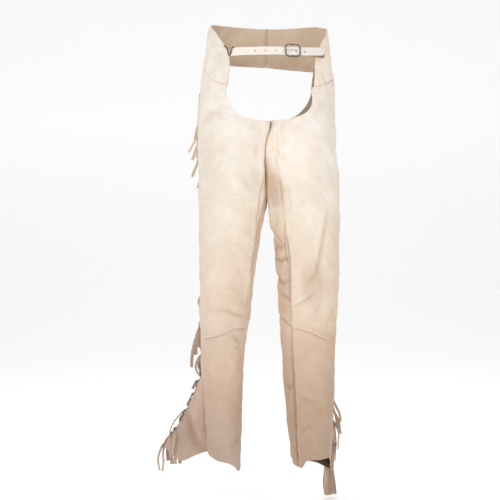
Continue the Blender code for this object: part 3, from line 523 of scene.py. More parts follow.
# The studio, in millimetres: a floor that bends up into a wall behind the chaps.
FLOOR_HEIGHT = -1106.0
FLOOR_HALF = 9000.0
FLOOR_BACK = 3400.0
FLOOR_BEND = 1400.0
WALL_TOP = 6000.0
LIGHTS = [
    # name, place, target, size, power, in metres and watts
    ("key", (-1.3, -2.8, 1.2), (0.0, 0.0, -0.4), 1.0, 33),
    ("fill", (2.1, -2.2, 0.2), (0.0, 0.0, -0.5), 1.8, 17),
    ("side", (-2.6, -0.9, 0.1), (-0.1, 0.0, -0.4), 1.4, 6),
    ("back", (0.4, 1.6, 1.9), (0.0, 0.4, -0.6), 1.6, 26),
]
CAMERA_LENS = 96.0
CAMERA_SENSOR = 36.0
CAMERA_PLACE = (-0.042, -3.2, -0.479)

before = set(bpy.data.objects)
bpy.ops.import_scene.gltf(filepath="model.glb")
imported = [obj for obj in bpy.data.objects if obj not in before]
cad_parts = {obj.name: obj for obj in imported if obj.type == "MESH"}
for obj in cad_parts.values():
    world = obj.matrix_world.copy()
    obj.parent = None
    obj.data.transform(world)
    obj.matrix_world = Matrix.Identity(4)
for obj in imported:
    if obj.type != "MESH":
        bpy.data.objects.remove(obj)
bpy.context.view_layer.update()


def smoothstep(value, start=0.0, end=1.0):
    """Return 0 before the start, 1 past the end and a smooth rise between. The end may be the lower."""
    share = np.clip((value - start) / (end - start), 0, 1)
    return share * share * (3 - 2 * share)


def curve_through(rows, column=1):
    """Return a smooth curve with no overshoot through one column of a table led by its first."""
    x, y = np.array(sorted(rows), float)[:, [0, column]].T
    step = np.diff(x)
    slope = np.diff(y) / step
    tangent = np.append(slope, slope[-1])
    for i in range(1, len(slope)):
        before, after = 2 * step[i] + step[i - 1], step[i] + 2 * step[i - 1]
        same_way = slope[i - 1] * slope[i] > 0
        tangent[i] = (before + after) / (before / slope[i - 1] + after / slope[i]) if same_way else 0

    def value_at(where):
        where = np.clip(np.asarray(where, float), x[0], x[-1])
        i = np.clip(np.searchsorted(x, where) - 1, 0, len(x) - 2)
        t = (where - x[i]) / step[i]
        start = (1 + 2 * t) * (1 - t) ** 2 * y[i] + t * (1 - t) ** 2 * step[i] * tangent[i]
        end = t * t * (3 - 2 * t) * y[i + 1] + t * t * (t - 1) * step[i] * tangent[i + 1]
        return start + end

    return value_at


def curves(table):
    return {side: curve_through(rows) for side, rows in table.items()}


def section_curves(outer, inner):
    """Return the curves down one leg, with the columns of its outer and inner sides."""
    columns = {"front": 1, "back": 2, "square_in": 3, "square_out": 4, "outer": outer, "inner": inner}
    return {name: curve_through(SECTIONS, column) for name, column in columns.items()}


SECTION = {"right": section_curves(5, 6), "left": section_curves(7, 8)}
LENGTH, FOLD_BACK, REACH, OUTSEAM_ANGLE, INSEAM_ANGLE = (
    curves(table) for table in (STRAND_LENGTH, STRIP_FOLD, FLARE_REACH, OUTSEAM, INSEAM)
)


def unit(vector):
    return vector / np.linalg.norm(vector, axis=-1, keepdims=True)


def wrapped(angle):
    """Return an angle within half a turn. Rounding doesn't carry the middle back to the front."""
    slack = 1e-6
    return (np.asarray(angle, float) + 180 + slack) % 360 - 180 - slack


def heading_way(side):
    """Return the way in plan that the flare points."""
    heading = math.radians(FLARE[side]["heading"])
    return np.array([math.cos(heading), -math.sin(heading), 0])


def plain_skin(side, angle, height):
    """Return points on the outside of the suede before folds, with X outward from the middle."""
    angle = wrapped(angle)
    at = {name: curve(height) for name, curve in SECTION[side].items()}
    turn = np.radians(angle)
    across = np.cos(turn)
    power = 2 / np.where(across > 0, at["square_out"], at["square_in"])
    depth = np.where(angle > 0, -at["front"], at["back"])
    half = (at["outer"] - at["inner"]) / 2
    leg_x = at["outer"] - half + half * np.sign(across) * np.abs(across) ** power
    leg_y = depth * np.abs(np.sin(turn)) ** power
    hip_x = at["outer"] * np.cos(turn / 2)
    hip_y = depth * np.abs(np.sin(turn / 2))
    inside = smoothstep(np.abs(angle), *CROTCH_TURNS) * smoothstep(height, *CROTCH_LEVELS)
    hip = smoothstep(height, *HIP_LEVELS) * (1 - inside)
    # The flare reaches farthest at the outseam.
    front, back, tip = FLARE[side]["front"], FLARE[side]["back"], OUTSEAM_ANGLE[side](height)
    share = np.clip(np.minimum((front - angle) / (front - tip), (angle - back) / (tip - back)), 0, 1)
    reach = REACH[side](height) * share
    out_x, out_y, _ = heading_way(side)
    x = leg_x + (hip_x - leg_x) * hip + reach * out_x
    y = leg_y + (hip_y - leg_y) * hip + reach * out_y
    return np.stack([x, y, np.broadcast_to(height, x.shape).astype(float)], -1)


def skin_normal(side, angle, height):
    """Return the outward unit normals of the skin, halfway between its two sides at an edge."""
    angle_step = 1.5
    height_step = 3.0
    up_way = plain_skin(side, angle, height + height_step) - plain_skin(side, angle, height - height_step)
    here = plain_skin(side, angle, height)
    ahead = unit(np.cross(up_way, plain_skin(side, angle + angle_step, height) - here))
    behind = unit(np.cross(up_way, here - plain_skin(side, angle - angle_step, height)))
    return unit(ahead + behind)


def from_line(angle, height, start, end):
    """Return how far along a line points lie (0 to 1), how far off it, how far right, and its length."""
    run_x, run_y = (end[0] - start[0]) * ARC_PER_DEGREE, end[1] - start[1]
    x, y = wrapped(angle - start[0]) * ARC_PER_DEGREE, height - start[1]
    length = math.hypot(run_x, run_y)
    share = np.clip((x * run_x + y * run_y) / length**2, 0, 1)
    return share, np.hypot(x - share * run_x, y - share * run_y), (x * run_y - y * run_x) / length, length


def bell(value):
    return np.exp(-(value**2))


def fold_height(side, angle, height):
    """Return how far the largest folds raise or sink the skin."""
    total = np.zeros(angle.shape)
    for angle_a, height_a, angle_b, height_b, width, depth in FOLDS[side]:
        share, off, _, _ = from_line(angle, height, (angle_a, height_a), (angle_b, height_b))
        total = total + depth * bell(off / width) * (FOLD_END + (1 - FOLD_END) * np.sin(math.pi * share))
    return total


def crease_height(side, angle, height):
    """Return how far the creases raise or sink the skin."""
    total = np.zeros(angle.shape)
    for line, width, depth, ridge in CREASES[side]:
        off = across = travel = np.full(angle.shape, np.inf)
        gone = 0.0
        for ends in zip(line, line[1:]):
            share, apart, right, length = from_line(angle, height, *ends)
            closer = apart < off
            off = np.where(closer, apart, off)
            across = np.where(closer, right, across)
            travel = np.where(closer, gone + share * length, travel)
            gone += length
        # The trough is deepest halfway along, and a ridge stands beside it.
        place = CREASE_BLUNT + (1 - 2 * CREASE_BLUNT) * travel / gone
        fade = np.sin(math.pi * place) ** CREASE_POWER
        beside = (across * math.copysign(1, ridge) - RIDGE_OFF * width) / (RIDGE_WIDE * width)
        past_end = np.sqrt(np.maximum(off**2 - across**2, 0)) / (RIDGE_PAST * width)
        crest = abs(ridge) * bell(beside) * bell(past_end)
        total = total + (crest - depth * bell(off / width)) * fade
    return total


def ripple_height(side, angle, height):
    """Return the low waves of the hide."""
    dice = random.Random(RIPPLE_SEED[side])
    total = np.zeros(angle.shape)
    for count, fewest, most, longest, shortest, rise in RIPPLES:
        for _ in range(count):
            around = dice.randint(fewest, most)
            down = 2 * math.pi / dice.uniform(shortest, longest) * dice.choice((-1, 1))
            start = dice.uniform(0, 2 * math.pi)
            total = total + rise * np.sin(around * np.radians(angle) + down * height + start)
    return total


def shade_patch_share(side, angle, height, in_front):
    """Return how much painted shade lies on the hide, from 0 to 1."""
    total = np.zeros(angle.shape)
    for middle, level, half_turn, half_height, strength, front_share in SHADE_PATCHES[side]:
        off = np.hypot(wrapped(angle - middle) / half_turn, (height - level) / half_height)
        total = total + (front_share if in_front else 1) * strength * smoothstep(off, *SHADE_PATCH_FADE)
    return np.minimum(total, 1)


def travelled_along(points, scale=1.0):
    """Return how far each point of a line lies from its first."""
    return np.append(0, np.cumsum(np.linalg.norm(np.diff(points, axis=0) * scale, axis=-1)))


def spaced(points, count, scale=1.0):
    """Return count + 1 evenly spaced points of a smooth curve through points."""
    points = np.array(points, float)
    travelled = travelled_along(points, scale)
    wanted = np.linspace(0, travelled[-1], count + 1)
    return np.stack([curve_through(list(zip(travelled, column)))(wanted) for column in points.T], -1)


def point_at(points, places, where):
    """Return the point of a line where its places reach a value."""
    return np.array([np.interp(where, places, column) for column in points.T])


def edge_between(rows, start, end, count):
    """Return count + 1 points of an (angle, height) edge between two angles."""
    angles = np.linspace(start, end, count + 1)
    return np.stack([angles, curve_through(rows)(angles)], -1)


def seam_run(seam, top, bottom, count):
    """Return count + 1 (angle, height) points down a seam that is given by its angle at each height."""
    heights = np.linspace(top, bottom, count + 1)
    return np.stack([seam(heights), heights], -1)


def patch(top, bottom, first, last):
    """Fill a four-sided (angle, height) patch between its edges, and return its angles and heights."""
    down = np.linspace(0, 1, len(first))[:, None, None]
    across = np.linspace(0, 1, len(top))[None, :, None]
    ruled = top[None] * (1 - down) + bottom[None] * down
    sided = first[:, None] * (1 - across) + last[:, None] * across
    upper = top[0] * (1 - across) + top[-1] * across
    lower = bottom[0] * (1 - across) + bottom[-1] * across
    filled = ruled + sided - upper * (1 - down) - lower * down
    return filled[..., 0], filled[..., 1]


def fine_places(count):
    """Return where the lines of a finer grid lie among count lines: closer together near both ends."""
    steps = np.array(FINE_STEPS)
    return np.concatenate([steps, np.arange(3, count - 3), count - 1 - steps[::-1]])


def refined(grid):
    """Cut the cells near all four borders of a grid finer."""
    for axis in (0, 1):
        wanted = fine_places(grid.shape[axis])
        low = np.minimum(wanted.astype(int), grid.shape[axis] - 2)
        share = (wanted - low).reshape((-1, 1) if axis == 0 else (1, -1))
        grid = np.take(grid, low, axis) * (1 - share) + np.take(grid, low + 1, axis) * share
    return grid


def meeting(rows, seam, angle):
    """Return the (angle, height) point where a cross line meets a seam, sought from an angle."""
    line = curve_through(rows)
    for _ in range(CROSSING_ROUNDS):
        angle = float(seam(line(angle)))
    return np.array([angle, float(line(angle))])


def outseam_runs(side):
    """Return the (angle, height) points down the outseam on the thigh and on the shin."""
    seam = OUTSEAM_ANGLE[side]
    top, knee, hem = (meeting(rows[side], seam, OUTSEAM_NEAR)[1] for rows in (YOKE_SEAM, KNEE_SEAM, HEM))
    upper = seam_run(seam, top, CROTCH_LEVEL, SCOOP_ROWS)
    lower = seam_run(seam, CROTCH_LEVEL, knee, INSEAM_ROWS)
    return np.concatenate([upper, lower[1:]]), seam_run(seam, knee, hem, SHIN_ROWS)


def placed(side, points):
    """Turn points with X outward into the shared frame."""
    return np.asarray(points) * np.array([SIGN[side], 1, 1])


def linked(name, data):
    made = bpy.data.objects.new(name, data)
    bpy.context.scene.collection.objects.link(made)
    return made


def mesh_of(name, points, faces):
    mesh = bpy.data.meshes.new(name)
    mesh.from_pydata((np.asarray(points) * MM).tolist(), [], faces)
    return mesh


def new_piece(name, node, points, faces, finishes, finish_of_face=None):
    """Make a piece from points in millimetres that rides on the frame and may stand for a node."""
    mesh = mesh_of(name, points, faces)
    for finish in finishes:
        mesh.materials.append(finish)
    if finish_of_face is not None:
        mesh.polygons.foreach_set("material_index", finish_of_face)
    work = bmesh.new()
    work.from_mesh(mesh)
    bmesh.ops.recalc_face_normals(work, faces=work.faces[:])
    if work.calc_volume(signed=True) < 0:
        bmesh.ops.reverse_faces(work, faces=work.faces[:])
    work.to_mesh(mesh)
    work.free()
    mesh.shade_smooth()
    made = linked(name, mesh)
    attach(made, "root")
    if node:
        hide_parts(node)
    return made


def add_values(piece, name, values):
    """Keep one number for each point of a piece, for its material."""
    layer = piece.data.attributes.new(name, "FLOAT", "POINT")
    layer.data.foreach_set("value", np.asarray(values, np.float32))


def joined(near, far):
    """Return the faces between two rings of point numbers."""
    return np.stack([near, np.roll(near, -1), np.roll(far, -1), far], -1).tolist()


def lofted(rings, start=0, closed=False):
    """Return the faces round a row of rings whose points are numbered from a start, with capped ends."""
    count, sides = len(rings), len(rings[0])
    numbers = start + np.arange(count * sides).reshape(count, sides)
    faces = [face for near, far in zip(numbers, numbers[1:]) for face in joined(near, far)]
    if closed:
        return faces + joined(numbers[-1], numbers[0])
    return faces + [numbers[0][::-1].tolist(), numbers[-1].tolist()]


def border_of(rows, columns):
    """Return the indices of a grid's border, in order round it."""
    numbers = np.arange(rows * columns).reshape(rows, columns)
    return np.concatenate([numbers[0], numbers[1:, -1], numbers[-1, -2::-1], numbers[-2:0:-1, 0]])


def rimmed_wall(outer, inner):
    """Return the points, faces and face kinds of a wall with a rounded rim.

    The kinds are 0 on the outside, 1 on the inside and 2 on the rim.
    """
    rows, columns = outer.shape[:2]
    size = rows * columns
    numbers = np.arange(size).reshape(rows, columns)
    corners = numbers[:-1, :-1], numbers[1:, :-1], numbers[1:, 1:], numbers[:-1, 1:]
    quads = np.stack(corners, -1).reshape(-1, 4)
    border = border_of(rows, columns)
    r, c = np.divmod(border, columns)
    ways = unit(outer[r, c] - outer[np.clip(r, 1, rows - 2), np.clip(c, 1, columns - 2)])
    rings = [border]
    points = [outer.reshape(-1, 3), inner.reshape(-1, 3)]
    for step in range(RIM_STEPS):
        turn = math.pi * (step + 1) / (RIM_STEPS + 1)
        through = (inner[r, c] - outer[r, c]) * (1 - math.cos(turn)) / 2
        points.append(outer[r, c] + through + ways * RIM_OUT * math.sin(turn))
        rings.append(2 * size + step * len(border) + np.arange(len(border)))
    rings.append(size + border)
    rim = np.concatenate([joined(near, far) for near, far in zip(rings, rings[1:])])
    faces = np.concatenate([quads, size + quads[:, ::-1], rim])
    kinds = np.repeat([0, 1, 2], [len(quads), len(quads), len(rim)])
    return np.concatenate(points), faces.tolist(), kinds


def reached(grid, reach):
    """Move each border of a grid of points out by its own distance along the grid's lines."""
    grid = grid.copy()
    for axis, start, end in ((0, "top", "bottom"), (1, "first", "last")):
        lines = np.moveaxis(grid, axis, 0)
        for name, here, inward in ((start, 0, 1), (end, -1, -2)):
            out = unit(lines[here] - lines[inward])
            lines[here] = lines[here] + out * reach[name][:, None]
    return grid


def border_distances(grid):
    """Return how far each point of a grid lies from each of its borders, along the grid's lines."""
    distances = {}
    for axis, start, end in ((0, "top", "bottom"), (1, "first", "last")):
        steps = np.linalg.norm(np.diff(grid, axis=axis), axis=-1)
        steps = np.insert(steps, 0, 0, axis)
        distances[start] = np.cumsum(steps, axis)
        distances[end] = np.take(distances[start], [-1], axis) - distances[start]
    return distances


def grid_normals(grid, guide):
    """Return the unit normals of a grid of points, on the same side as the guide."""
    normals = unit(np.cross(np.gradient(grid, axis=0), np.gradient(grid, axis=1)))
    return normals * np.sign((normals * guide).sum(-1, keepdims=True))


def along_border(value, border, shape):
    """Turn a value, or a row of them along a border's coarse cells, into a column or row of a grid."""
    across = border in ("top", "bottom")
    values = np.atleast_1d(np.asarray(value, float))
    if len(values) > 1:
        values = np.interp(fine_places(len(values)), np.arange(len(values)), values)
    values = np.broadcast_to(values, shape[1] if across else shape[0])
    return values[None, :] if across else values[:, None]


def panel(side, part, grid, borders, finishes):
    """Make one suede panel over a grid of angles and heights, and return its outer grid and normals."""
    node = side + "_" + part
    kind = part.split("_")[-1]
    angle, height = (refined(values) for values in grid)
    plain = plain_skin(side, angle, height)
    guide = skin_normal(side, angle, height)
    # Beside the middle back seam both yokes lie alike, without creases and waves of their own.
    own = 1 - smoothstep(np.abs(wrapped(angle)), *JOINED_TURNS) * smoothstep(height, *JOINED_LEVELS)
    crease = crease_height(side, angle, height) * own
    raised = fold_height(side, angle, height) + crease + ripple_height(side, angle, height) * own
    shade = np.zeros(angle.shape)
    reach = {}
    for border, distance in border_distances(plain).items():
        lift, out, laid, fade = (along_border(value, border, angle.shape) for value in borders[border])
        raised = raised + lift * smoothstep(distance, *SEAM_FADE)
        # Painted shadow below the edge of the panel above, and a paler edge on top of this one.
        hidden = smoothstep(distance, SHADE_FROM + fade, SHADE_FROM)
        shade = shade + laid * np.where(laid > 0, bell(distance / fade), hidden)
        reach[border] = out.ravel()
    outer = reached(plain + raised[..., None] * guide, reach)
    normals = grid_normals(outer, guide)
    points, faces, kinds = rimmed_wall(outer, outer - SUEDE * normals)
    made = new_piece(
        node + "_suede", node, placed(side, points), faces, finishes[side, kind], kinds % 2
    )
    # Painted shade in patches, where shade falls between the legs and beside folds.
    patch_shade = shade_patch_share(side, angle, height, "front" in part)
    rim = border_of(*angle.shape)
    for name, values, rim_share in (("crease", crease, 0), ("patch_shade", patch_shade, 0), ("seam", shade, 1)):
        on_rim = np.tile(values.ravel()[rim] * rim_share, RIM_STEPS)
        add_values(made, name, np.concatenate([values.ravel(), values.ravel(), on_rim]))
    return {"outer": outer, "normals": normals}


def leg(side, finishes):
    """Make the yoke and the four panels of one leg. Return the made panels by name."""
    inseam = INSEAM_ANGLE[side]
    out_thigh, out_shin = outseam_runs(side)
    out = out_thigh[0, 0]
    knee_in, hem_in = (meeting(rows[side], inseam, INSEAM_NEAR) for rows in (KNEE_SEAM, HEM))
    in_thigh = seam_run(inseam, FRONT_SCOOP[side][-1][1], knee_in[1], INSEAM_ROWS)
    in_shin = seam_run(inseam, knee_in[1], hem_in[1], SHIN_ROWS)

    front_seam = edge_between(YOKE_SEAM[side], out, FRONT_SCOOP[side][0][0], FRONT_COLUMNS)
    back_seam = edge_between(YOKE_SEAM[side], out, BACK_CORNER, BACK_COLUMNS)
    back_band = edge_between(YOKE_SEAM[side], BACK_CORNER, -180, BAND_COLUMNS)
    bottom = np.concatenate([back_band[::-1], back_seam[::-1][1:], front_seam[1:]])
    band_top = edge_between(YOKE_TOP[side], -180, BACK_CORNER, BAND_COLUMNS)
    back_top = edge_between(YOKE_TOP[side], BACK_CORNER, out, BACK_COLUMNS)
    front_top = [tuple(back_top[-1])] + [row for row in YOKE_TOP[side] if row[0] > out]
    front_top = spaced(front_top, FRONT_COLUMNS, EDGE_SCALE)
    top = np.concatenate([band_top, back_top[1:], front_top[1:]])
    middle_back = np.linspace(top[0], bottom[0], YOKE_ROWS + 1)
    front_edge = seam_run(curve_through(YOKE_EDGE[side]), top[-1, 1], bottom[-1, 1], YOKE_ROWS)
    middle = OVER if side == "right" else UNDER
    borders = {"top": FREE, "bottom": OVER, "first": middle, "last": FREE}
    made = {"yoke": panel(side, "yoke", patch(top, bottom, middle_back, front_edge), borders, finishes)}

    scooped = smoothstep(np.arange(SCOOP_ROWS + INSEAM_ROWS + 1), SCOOP_ROWS - 2, SCOOP_ROWS + 2)
    for name, full_turn, seam, scoop, columns, inseam_kind in (
        ("front", 0.0, front_seam, FRONT_SCOOP[side], FRONT_COLUMNS, OVER),
        ("back", 360.0, back_seam, SEAT_SCOOP[side], BACK_COLUMNS, UNDER_INSEAM),
    ):
        turned = np.array([full_turn, 0.0])
        in_side = np.concatenate([spaced(scoop, SCOOP_ROWS, EDGE_SCALE), in_thigh[1:] - turned])
        knee = edge_between(KNEE_SEAM[side], out_thigh[-1, 0], in_side[-1, 0], columns)
        knee[-1] = in_side[-1]
        last = [free + (sewn - free) * scooped for free, sewn in zip(FREE, inseam_kind)]
        last[2] = last[2] * curve_through(INSEAM_SHOWN[side])(in_side[:, 1])
        # The yoke's seam stays plain to see where the surface turns away from the front: its painted shadow
        # is widened there.
        turned_away = smoothstep(np.abs(seam[:, 0]), *YOKE_SEAM_TURNS)
        top_kind = (*UNDER[:3], UNDER[3] + YOKE_SEAM_WIDER * turned_away)
        borders = {"top": top_kind, "bottom": OVER, "first": BUTTED, "last": last}
        part = name + "_thigh"
        made[part] = panel(side, part, patch(seam, knee, out_thigh, in_side), borders, finishes)
        hem = edge_between(HEM[side], out_shin[-1, 0], hem_in[0] - full_turn, columns)
        hem[-1] = hem_in - turned
        borders = {"top": UNDER, "bottom": FREE, "first": BUTTED, "last": inseam_kind}
        part = name + "_shin"
        made[part] = panel(side, part, patch(knee, hem, out_shin, in_shin - turned), borders, finishes)
    return made


def border_line(made, border):
    """Return points and normals along a panel's border, a stitch row's distance in from its edge."""
    axis = 0 if border in ("top", "bottom") else 1
    step = -1 if border in ("bottom", "last") else 1
    near = len(FINE_STEPS) + 2
    grids = (np.moveaxis(made[key], axis, 0)[::step][:near] for key in ("outer", "normals"))
    pairs = list(zip(*(grid.swapaxes(0, 1) for grid in grids)))
    points, normals = (
        np.array([point_at(pair[k], travelled_along(pair[0]), STITCH_FROM_EDGE) for pair in pairs])
        for k in (0, 1)
    )
    return points, unit(normals)


def spokes(first, second, count):
    """Return the ways round a circle, from its first way towards the second."""
    turns = np.arange(count)[:, None] * 2 * math.pi / count
    return np.cos(turns) * first + np.sin(turns) * second


def stitches(name, side, lines, finish):
    """Make a row of thread stitches along lines of points on a panel."""
    points = []
    faces = []
    for line, ways in lines:
        travelled = travelled_along(line)
        for middle in np.arange(STITCH_PITCH, travelled[-1] - STITCH_PITCH / 2, STITCH_PITCH):
            at = point_at(line, travelled, middle)
            normal = unit(point_at(ways, travelled, middle))
            along = unit(point_at(line, travelled, middle + 1) - at)
            hoop = spokes(unit(np.cross(normal, along)), normal, STITCH_SIDES) * STITCH_RADIUS
            rings = [
                at + along * place * STITCH_LENGTH + normal * lift + hoop * width
                for place, width, lift in STITCH_RINGS
            ]
            faces += lofted(rings, len(points))
            points.extend(np.concatenate(rings))
    new_piece(name, None, placed(side, points), faces, [finish])


def seam_line(side):
    """Return the outseam's points on the skin, from the hem up."""
    thigh, shin = outseam_runs(side)
    angle, height = np.concatenate([thigh, shin[1:]])[::-1].T
    raised = fold_height(side, angle, height) + BUTTED[0]
    return plain_skin(side, angle, height) + raised[:, None] * skin_normal(side, angle, height)


SEAM_LINE = {side: seam_line(side) for side in SIGN}


def on_seam(side, height):
    """Return the point of the outseam at a height."""
    point = point_at(SEAM_LINE[side], SEAM_LINE[side][:, 2], height)
    point[2] = height
    return point


def strip_edge(side, height):
    """Return the outseam's point at a height, and the ways of the folded strip from it and down it."""
    along = unit(on_seam(side, height - SEAM_SPAN) - on_seam(side, height + SEAM_SPAN))
    flared = min(REACH[side](height) / FLARE_TURNED, 1.0)
    normal = skin_normal(side, OUTSEAM_ANGLE[side](height), np.array(float(height)))
    out = unit(normal * (1 - flared) + heading_way(side) * flared)
    out = unit(out - along * np.dot(out, along))
    turn = math.radians(float(FOLD_BACK[side](height)))
    out = unit(out * math.cos(turn) + np.cross(out, along) * math.sin(turn))
    return on_seam(side, height), out, along


def clear_of_leather(side, points, gap):
    """Return points moved away from the middle plane as far as the leather needs, the first one kept."""
    moved = points.copy()
    for point in moved[1:]:
        heights = np.full(OUTER_TURNS.shape, point[2])
        raised = fold_height(side, OUTER_TURNS, heights)
        normals = skin_normal(side, OUTER_TURNS, heights)
        skin = plain_skin(side, OUTER_TURNS, heights) + raised[:, None] * normals
        point[0] = max(point[0], np.interp(point[1], skin[:, 1], skin[:, 0]) + gap)
    return moved


def strand_line(side, height, base, shown, dice):
    """Return a strand's centre points, its ways across its width and thickness, its width and tone."""
    stop = np.linspace(0, 1, STRAND_SEGMENTS + 1)

    def wavy(reach, fewest, most):
        size = dice.uniform(-reach, reach)
        return size * stop * np.sin(2 * math.pi * (dice.uniform(fewest, most) * stop + dice.random()))

    curl = wavy(*CURL)
    wave = wavy(*WAVE)
    drawn = [dice.uniform(*ends) for ends in CHANCES.values()]
    kick, length, lean, bow, back, turn, wide, twist, tone = drawn
    kick *= smoothstep(REACH[side](height), 0, FLARE_TURNED)
    length *= float(LENGTH[side](height))
    back *= length
    wide *= STRAND_WIDE
    if shown:
        length, lean, bow, back, turn, wide, tone = shown
        kick = FRONT_KICK if back < 0 else 0.0
    # A strand that lies on the leather's front comes round its edge first.
    brought = smoothstep(stop, 0, ROUND_BY) if back < 0 else np.sin(math.pi / 2 * stop)
    kicked = kick * bell((stop - KICKED[0]) / KICKED[1])
    sideways = lean * stop + bow * np.sin(math.pi * stop) + kicked + wave
    centres = base + np.stack([sideways, back * brought + curl, -length * stop], -1)
    if not shown and height > SWELL_BELOW:
        upright = UPRIGHT_SHARE * float(smoothstep(height, SWELL_BELOW, SWELL_BELOW + SWELL_RISE))
        centres[:, 1] -= back * upright * brought
        centres = clear_of_leather(side, centres, SWELL_GAP + bow / 2)
    turns = np.radians(-90 + (turn + 90) * smoothstep(stop, 0, TURNED_BY) + twist * stop**1.5)
    level = np.stack([np.cos(turns), np.sin(turns), np.zeros(len(stop))], -1)
    travel = unit(np.gradient(centres, axis=0))
    wides = unit(level - travel * (level * travel).sum(-1, keepdims=True))
    return centres, wides, np.cross(wides, travel), wide, tone


def fringe(node, side, top, bottom, finish, seed):
    """Make a strip that lies folded behind the outseam, with thin curled strands that hang from it."""
    dice = random.Random(seed)
    points, faces, tones, roots = [], [], [], []

    def add(rings, tone, ring_roots):
        faces.extend(lofted(rings, len(points)))
        points.extend(np.concatenate(rings))
        tones.extend([tone] * sum(len(ring) for ring in rings))
        roots.extend(np.repeat(ring_roots, len(rings[0])))

    rings = []
    for height in np.arange(top, bottom, -STRIP_STEP):
        point, out, along = strip_edge(side, height)
        across = unit(np.cross(along, out)) * STRIP_THICK / 2
        near = point + out * SEAM_GAP
        far = near + out * STRIP_REACH
        rings.append([near - across, near + across, far + across, far - across])
    add(rings, STRIP_TONE, [1.0] * len(rings))

    shown = {row[0]: row[1:] for row in SHOWN_STRANDS[side] if bottom - 1 < row[0] < top}
    count = int((top - bottom) / STRAND_PITCH)
    heights = [top - (top - bottom) / count * (i + 0.5) for i in range(count)]
    heights = [h for h in heights if all(abs(h - other) > SHOWN_NEAR for other in shown)]
    for height in sorted([*shown, *heights], reverse=True):
        point, out, along = strip_edge(side, height)
        thick = unit(np.cross(along, out)) * STRAND_THICK / 2
        root = point + out * (SEAM_GAP + STRIP_REACH - ROOT_IN)
        base = point + out * (SEAM_GAP + STRIP_REACH + ROOT_OUT)
        centres, wides, thicks, wide, tone = strand_line(side, height, base, shown.get(height), dice)
        half = along * wide / 2
        rings = [[root + thick - half, root + thick, root + thick + half,
                  root - thick + half, root - thick, root - thick - half]]
        cup = dice.uniform(-CUP, CUP)
        stops = np.linspace(0, 1, STRAND_SEGMENTS + 1)
        for stop, centre, across, thick in zip(stops[1:], centres[1:], wides[1:], thicks[1:]):
            uneven = 1 + UNEVEN * math.sin(9 * stop + height)
            half = across * wide / 2 * (1 - TAPER * stop) * uneven
            up = thick * STRAND_THICK / 2
            cupped = thick * cup * smoothstep(stop, 0, CUPPED_BY)
            left, right = centre - half + cupped, centre + half + cupped
            rings.append([left + up, centre + up, right + up, right - up, centre - up, left - up])
        # Painted shade at the root, where the strand comes out from between the panels, fading by LIGHT_BY.
        add(rings, tone, [1.0, *smoothstep(stops[1:], LIGHT_BY, 0)])
    made = new_piece(node + "_strands", node, placed(side, points), faces, [finish])
    made.data.set_sharp_from_angle(angle=math.radians(SHARP["strand"]))
    add_values(made, "strand", tones)
    add_values(made, "root", roots)


def waist(angle, height=0.0, lift=0.0):
    """Return a point lifted off the waist, in the shared frame.

    The height runs from the strap's middle, and angle 90 is the middle front.
    """

    def at(angle):
        section = SECTION["left" if angle < 90 else "right"]
        turn = math.radians(angle)
        level = STRAP_HEIGHT + height
        return np.array([float(section["outer"](level)) * math.cos(turn),
                         -float(section["front"](level)) * math.sin(turn), level])

    ahead = at(angle + 0.5) - at(angle - 0.5)
    normal = unit(np.array([ahead[1], -ahead[0], 0]))
    return at(angle) + (-normal if normal[1] > 0 else normal) * lift


def waist_angle(x, height=0.0):
    """Return the waist angle at a distance from the middle plane."""
    section = SECTION["left" if x > 0 else "right"]
    return math.degrees(math.acos(x / float(section["outer"](STRAP_HEIGHT + height))))


def strap_lift(angle):
    """Return how far the inside of the strap lies off the waist: it bulges over the buckle's bar."""
    x = waist(angle)[0]
    lift = STRAP_LIFT_END + (STRAP_LIFT - STRAP_LIFT_END) * float(smoothstep(x, *STRAP_LIFTED))
    return lift + BULGE_HEIGHT * float(bell((x - waist(BUCKLE_ANGLE)[0] - BULGE_OFF) / BULGE_WIDE))


def band(node, angles, half_widths, middles, lifts, finishes):
    """Make a strap round the waist from its half width, middle height and lift at each angle."""
    across = np.linspace(1, -1, STRAP_ROWS + 1)
    half_widths = np.maximum(half_widths - RIM_OUT, LEAST_HALF_WIDTH)
    outer, inner = (
        np.array([
            [waist(angle, middle + half * k, lift + thick) for k in across]
            for angle, half, middle, lift in zip(angles, half_widths, middles, lifts)
        ])
        for thick in (STRAP_THICK, 0)
    )
    points, faces, kinds = rimmed_wall(outer, inner)
    return new_piece(node + "_leather", node, points, faces, finishes, kinds // 2)


def tube(path, radius, sides, closed=False):
    """Return the points and faces of a round wire along a path. The radius may vary along it."""
    path = np.array(path, float)
    ways = unit(np.roll(path, -1, 0) - np.roll(path, 1, 0) if closed else np.gradient(path, axis=0))
    side_way = unit(np.cross(ways[0], [0.0, 1.0, 0.1]))
    rings = []
    for point, way, reach in zip(path, ways, np.broadcast_to(radius, len(path))):
        side_way = unit(side_way - way * np.dot(side_way, way))
        rings.append(point + reach * spokes(side_way, np.cross(way, side_way), sides))
    return np.concatenate(rings), lofted(rings, closed=closed)


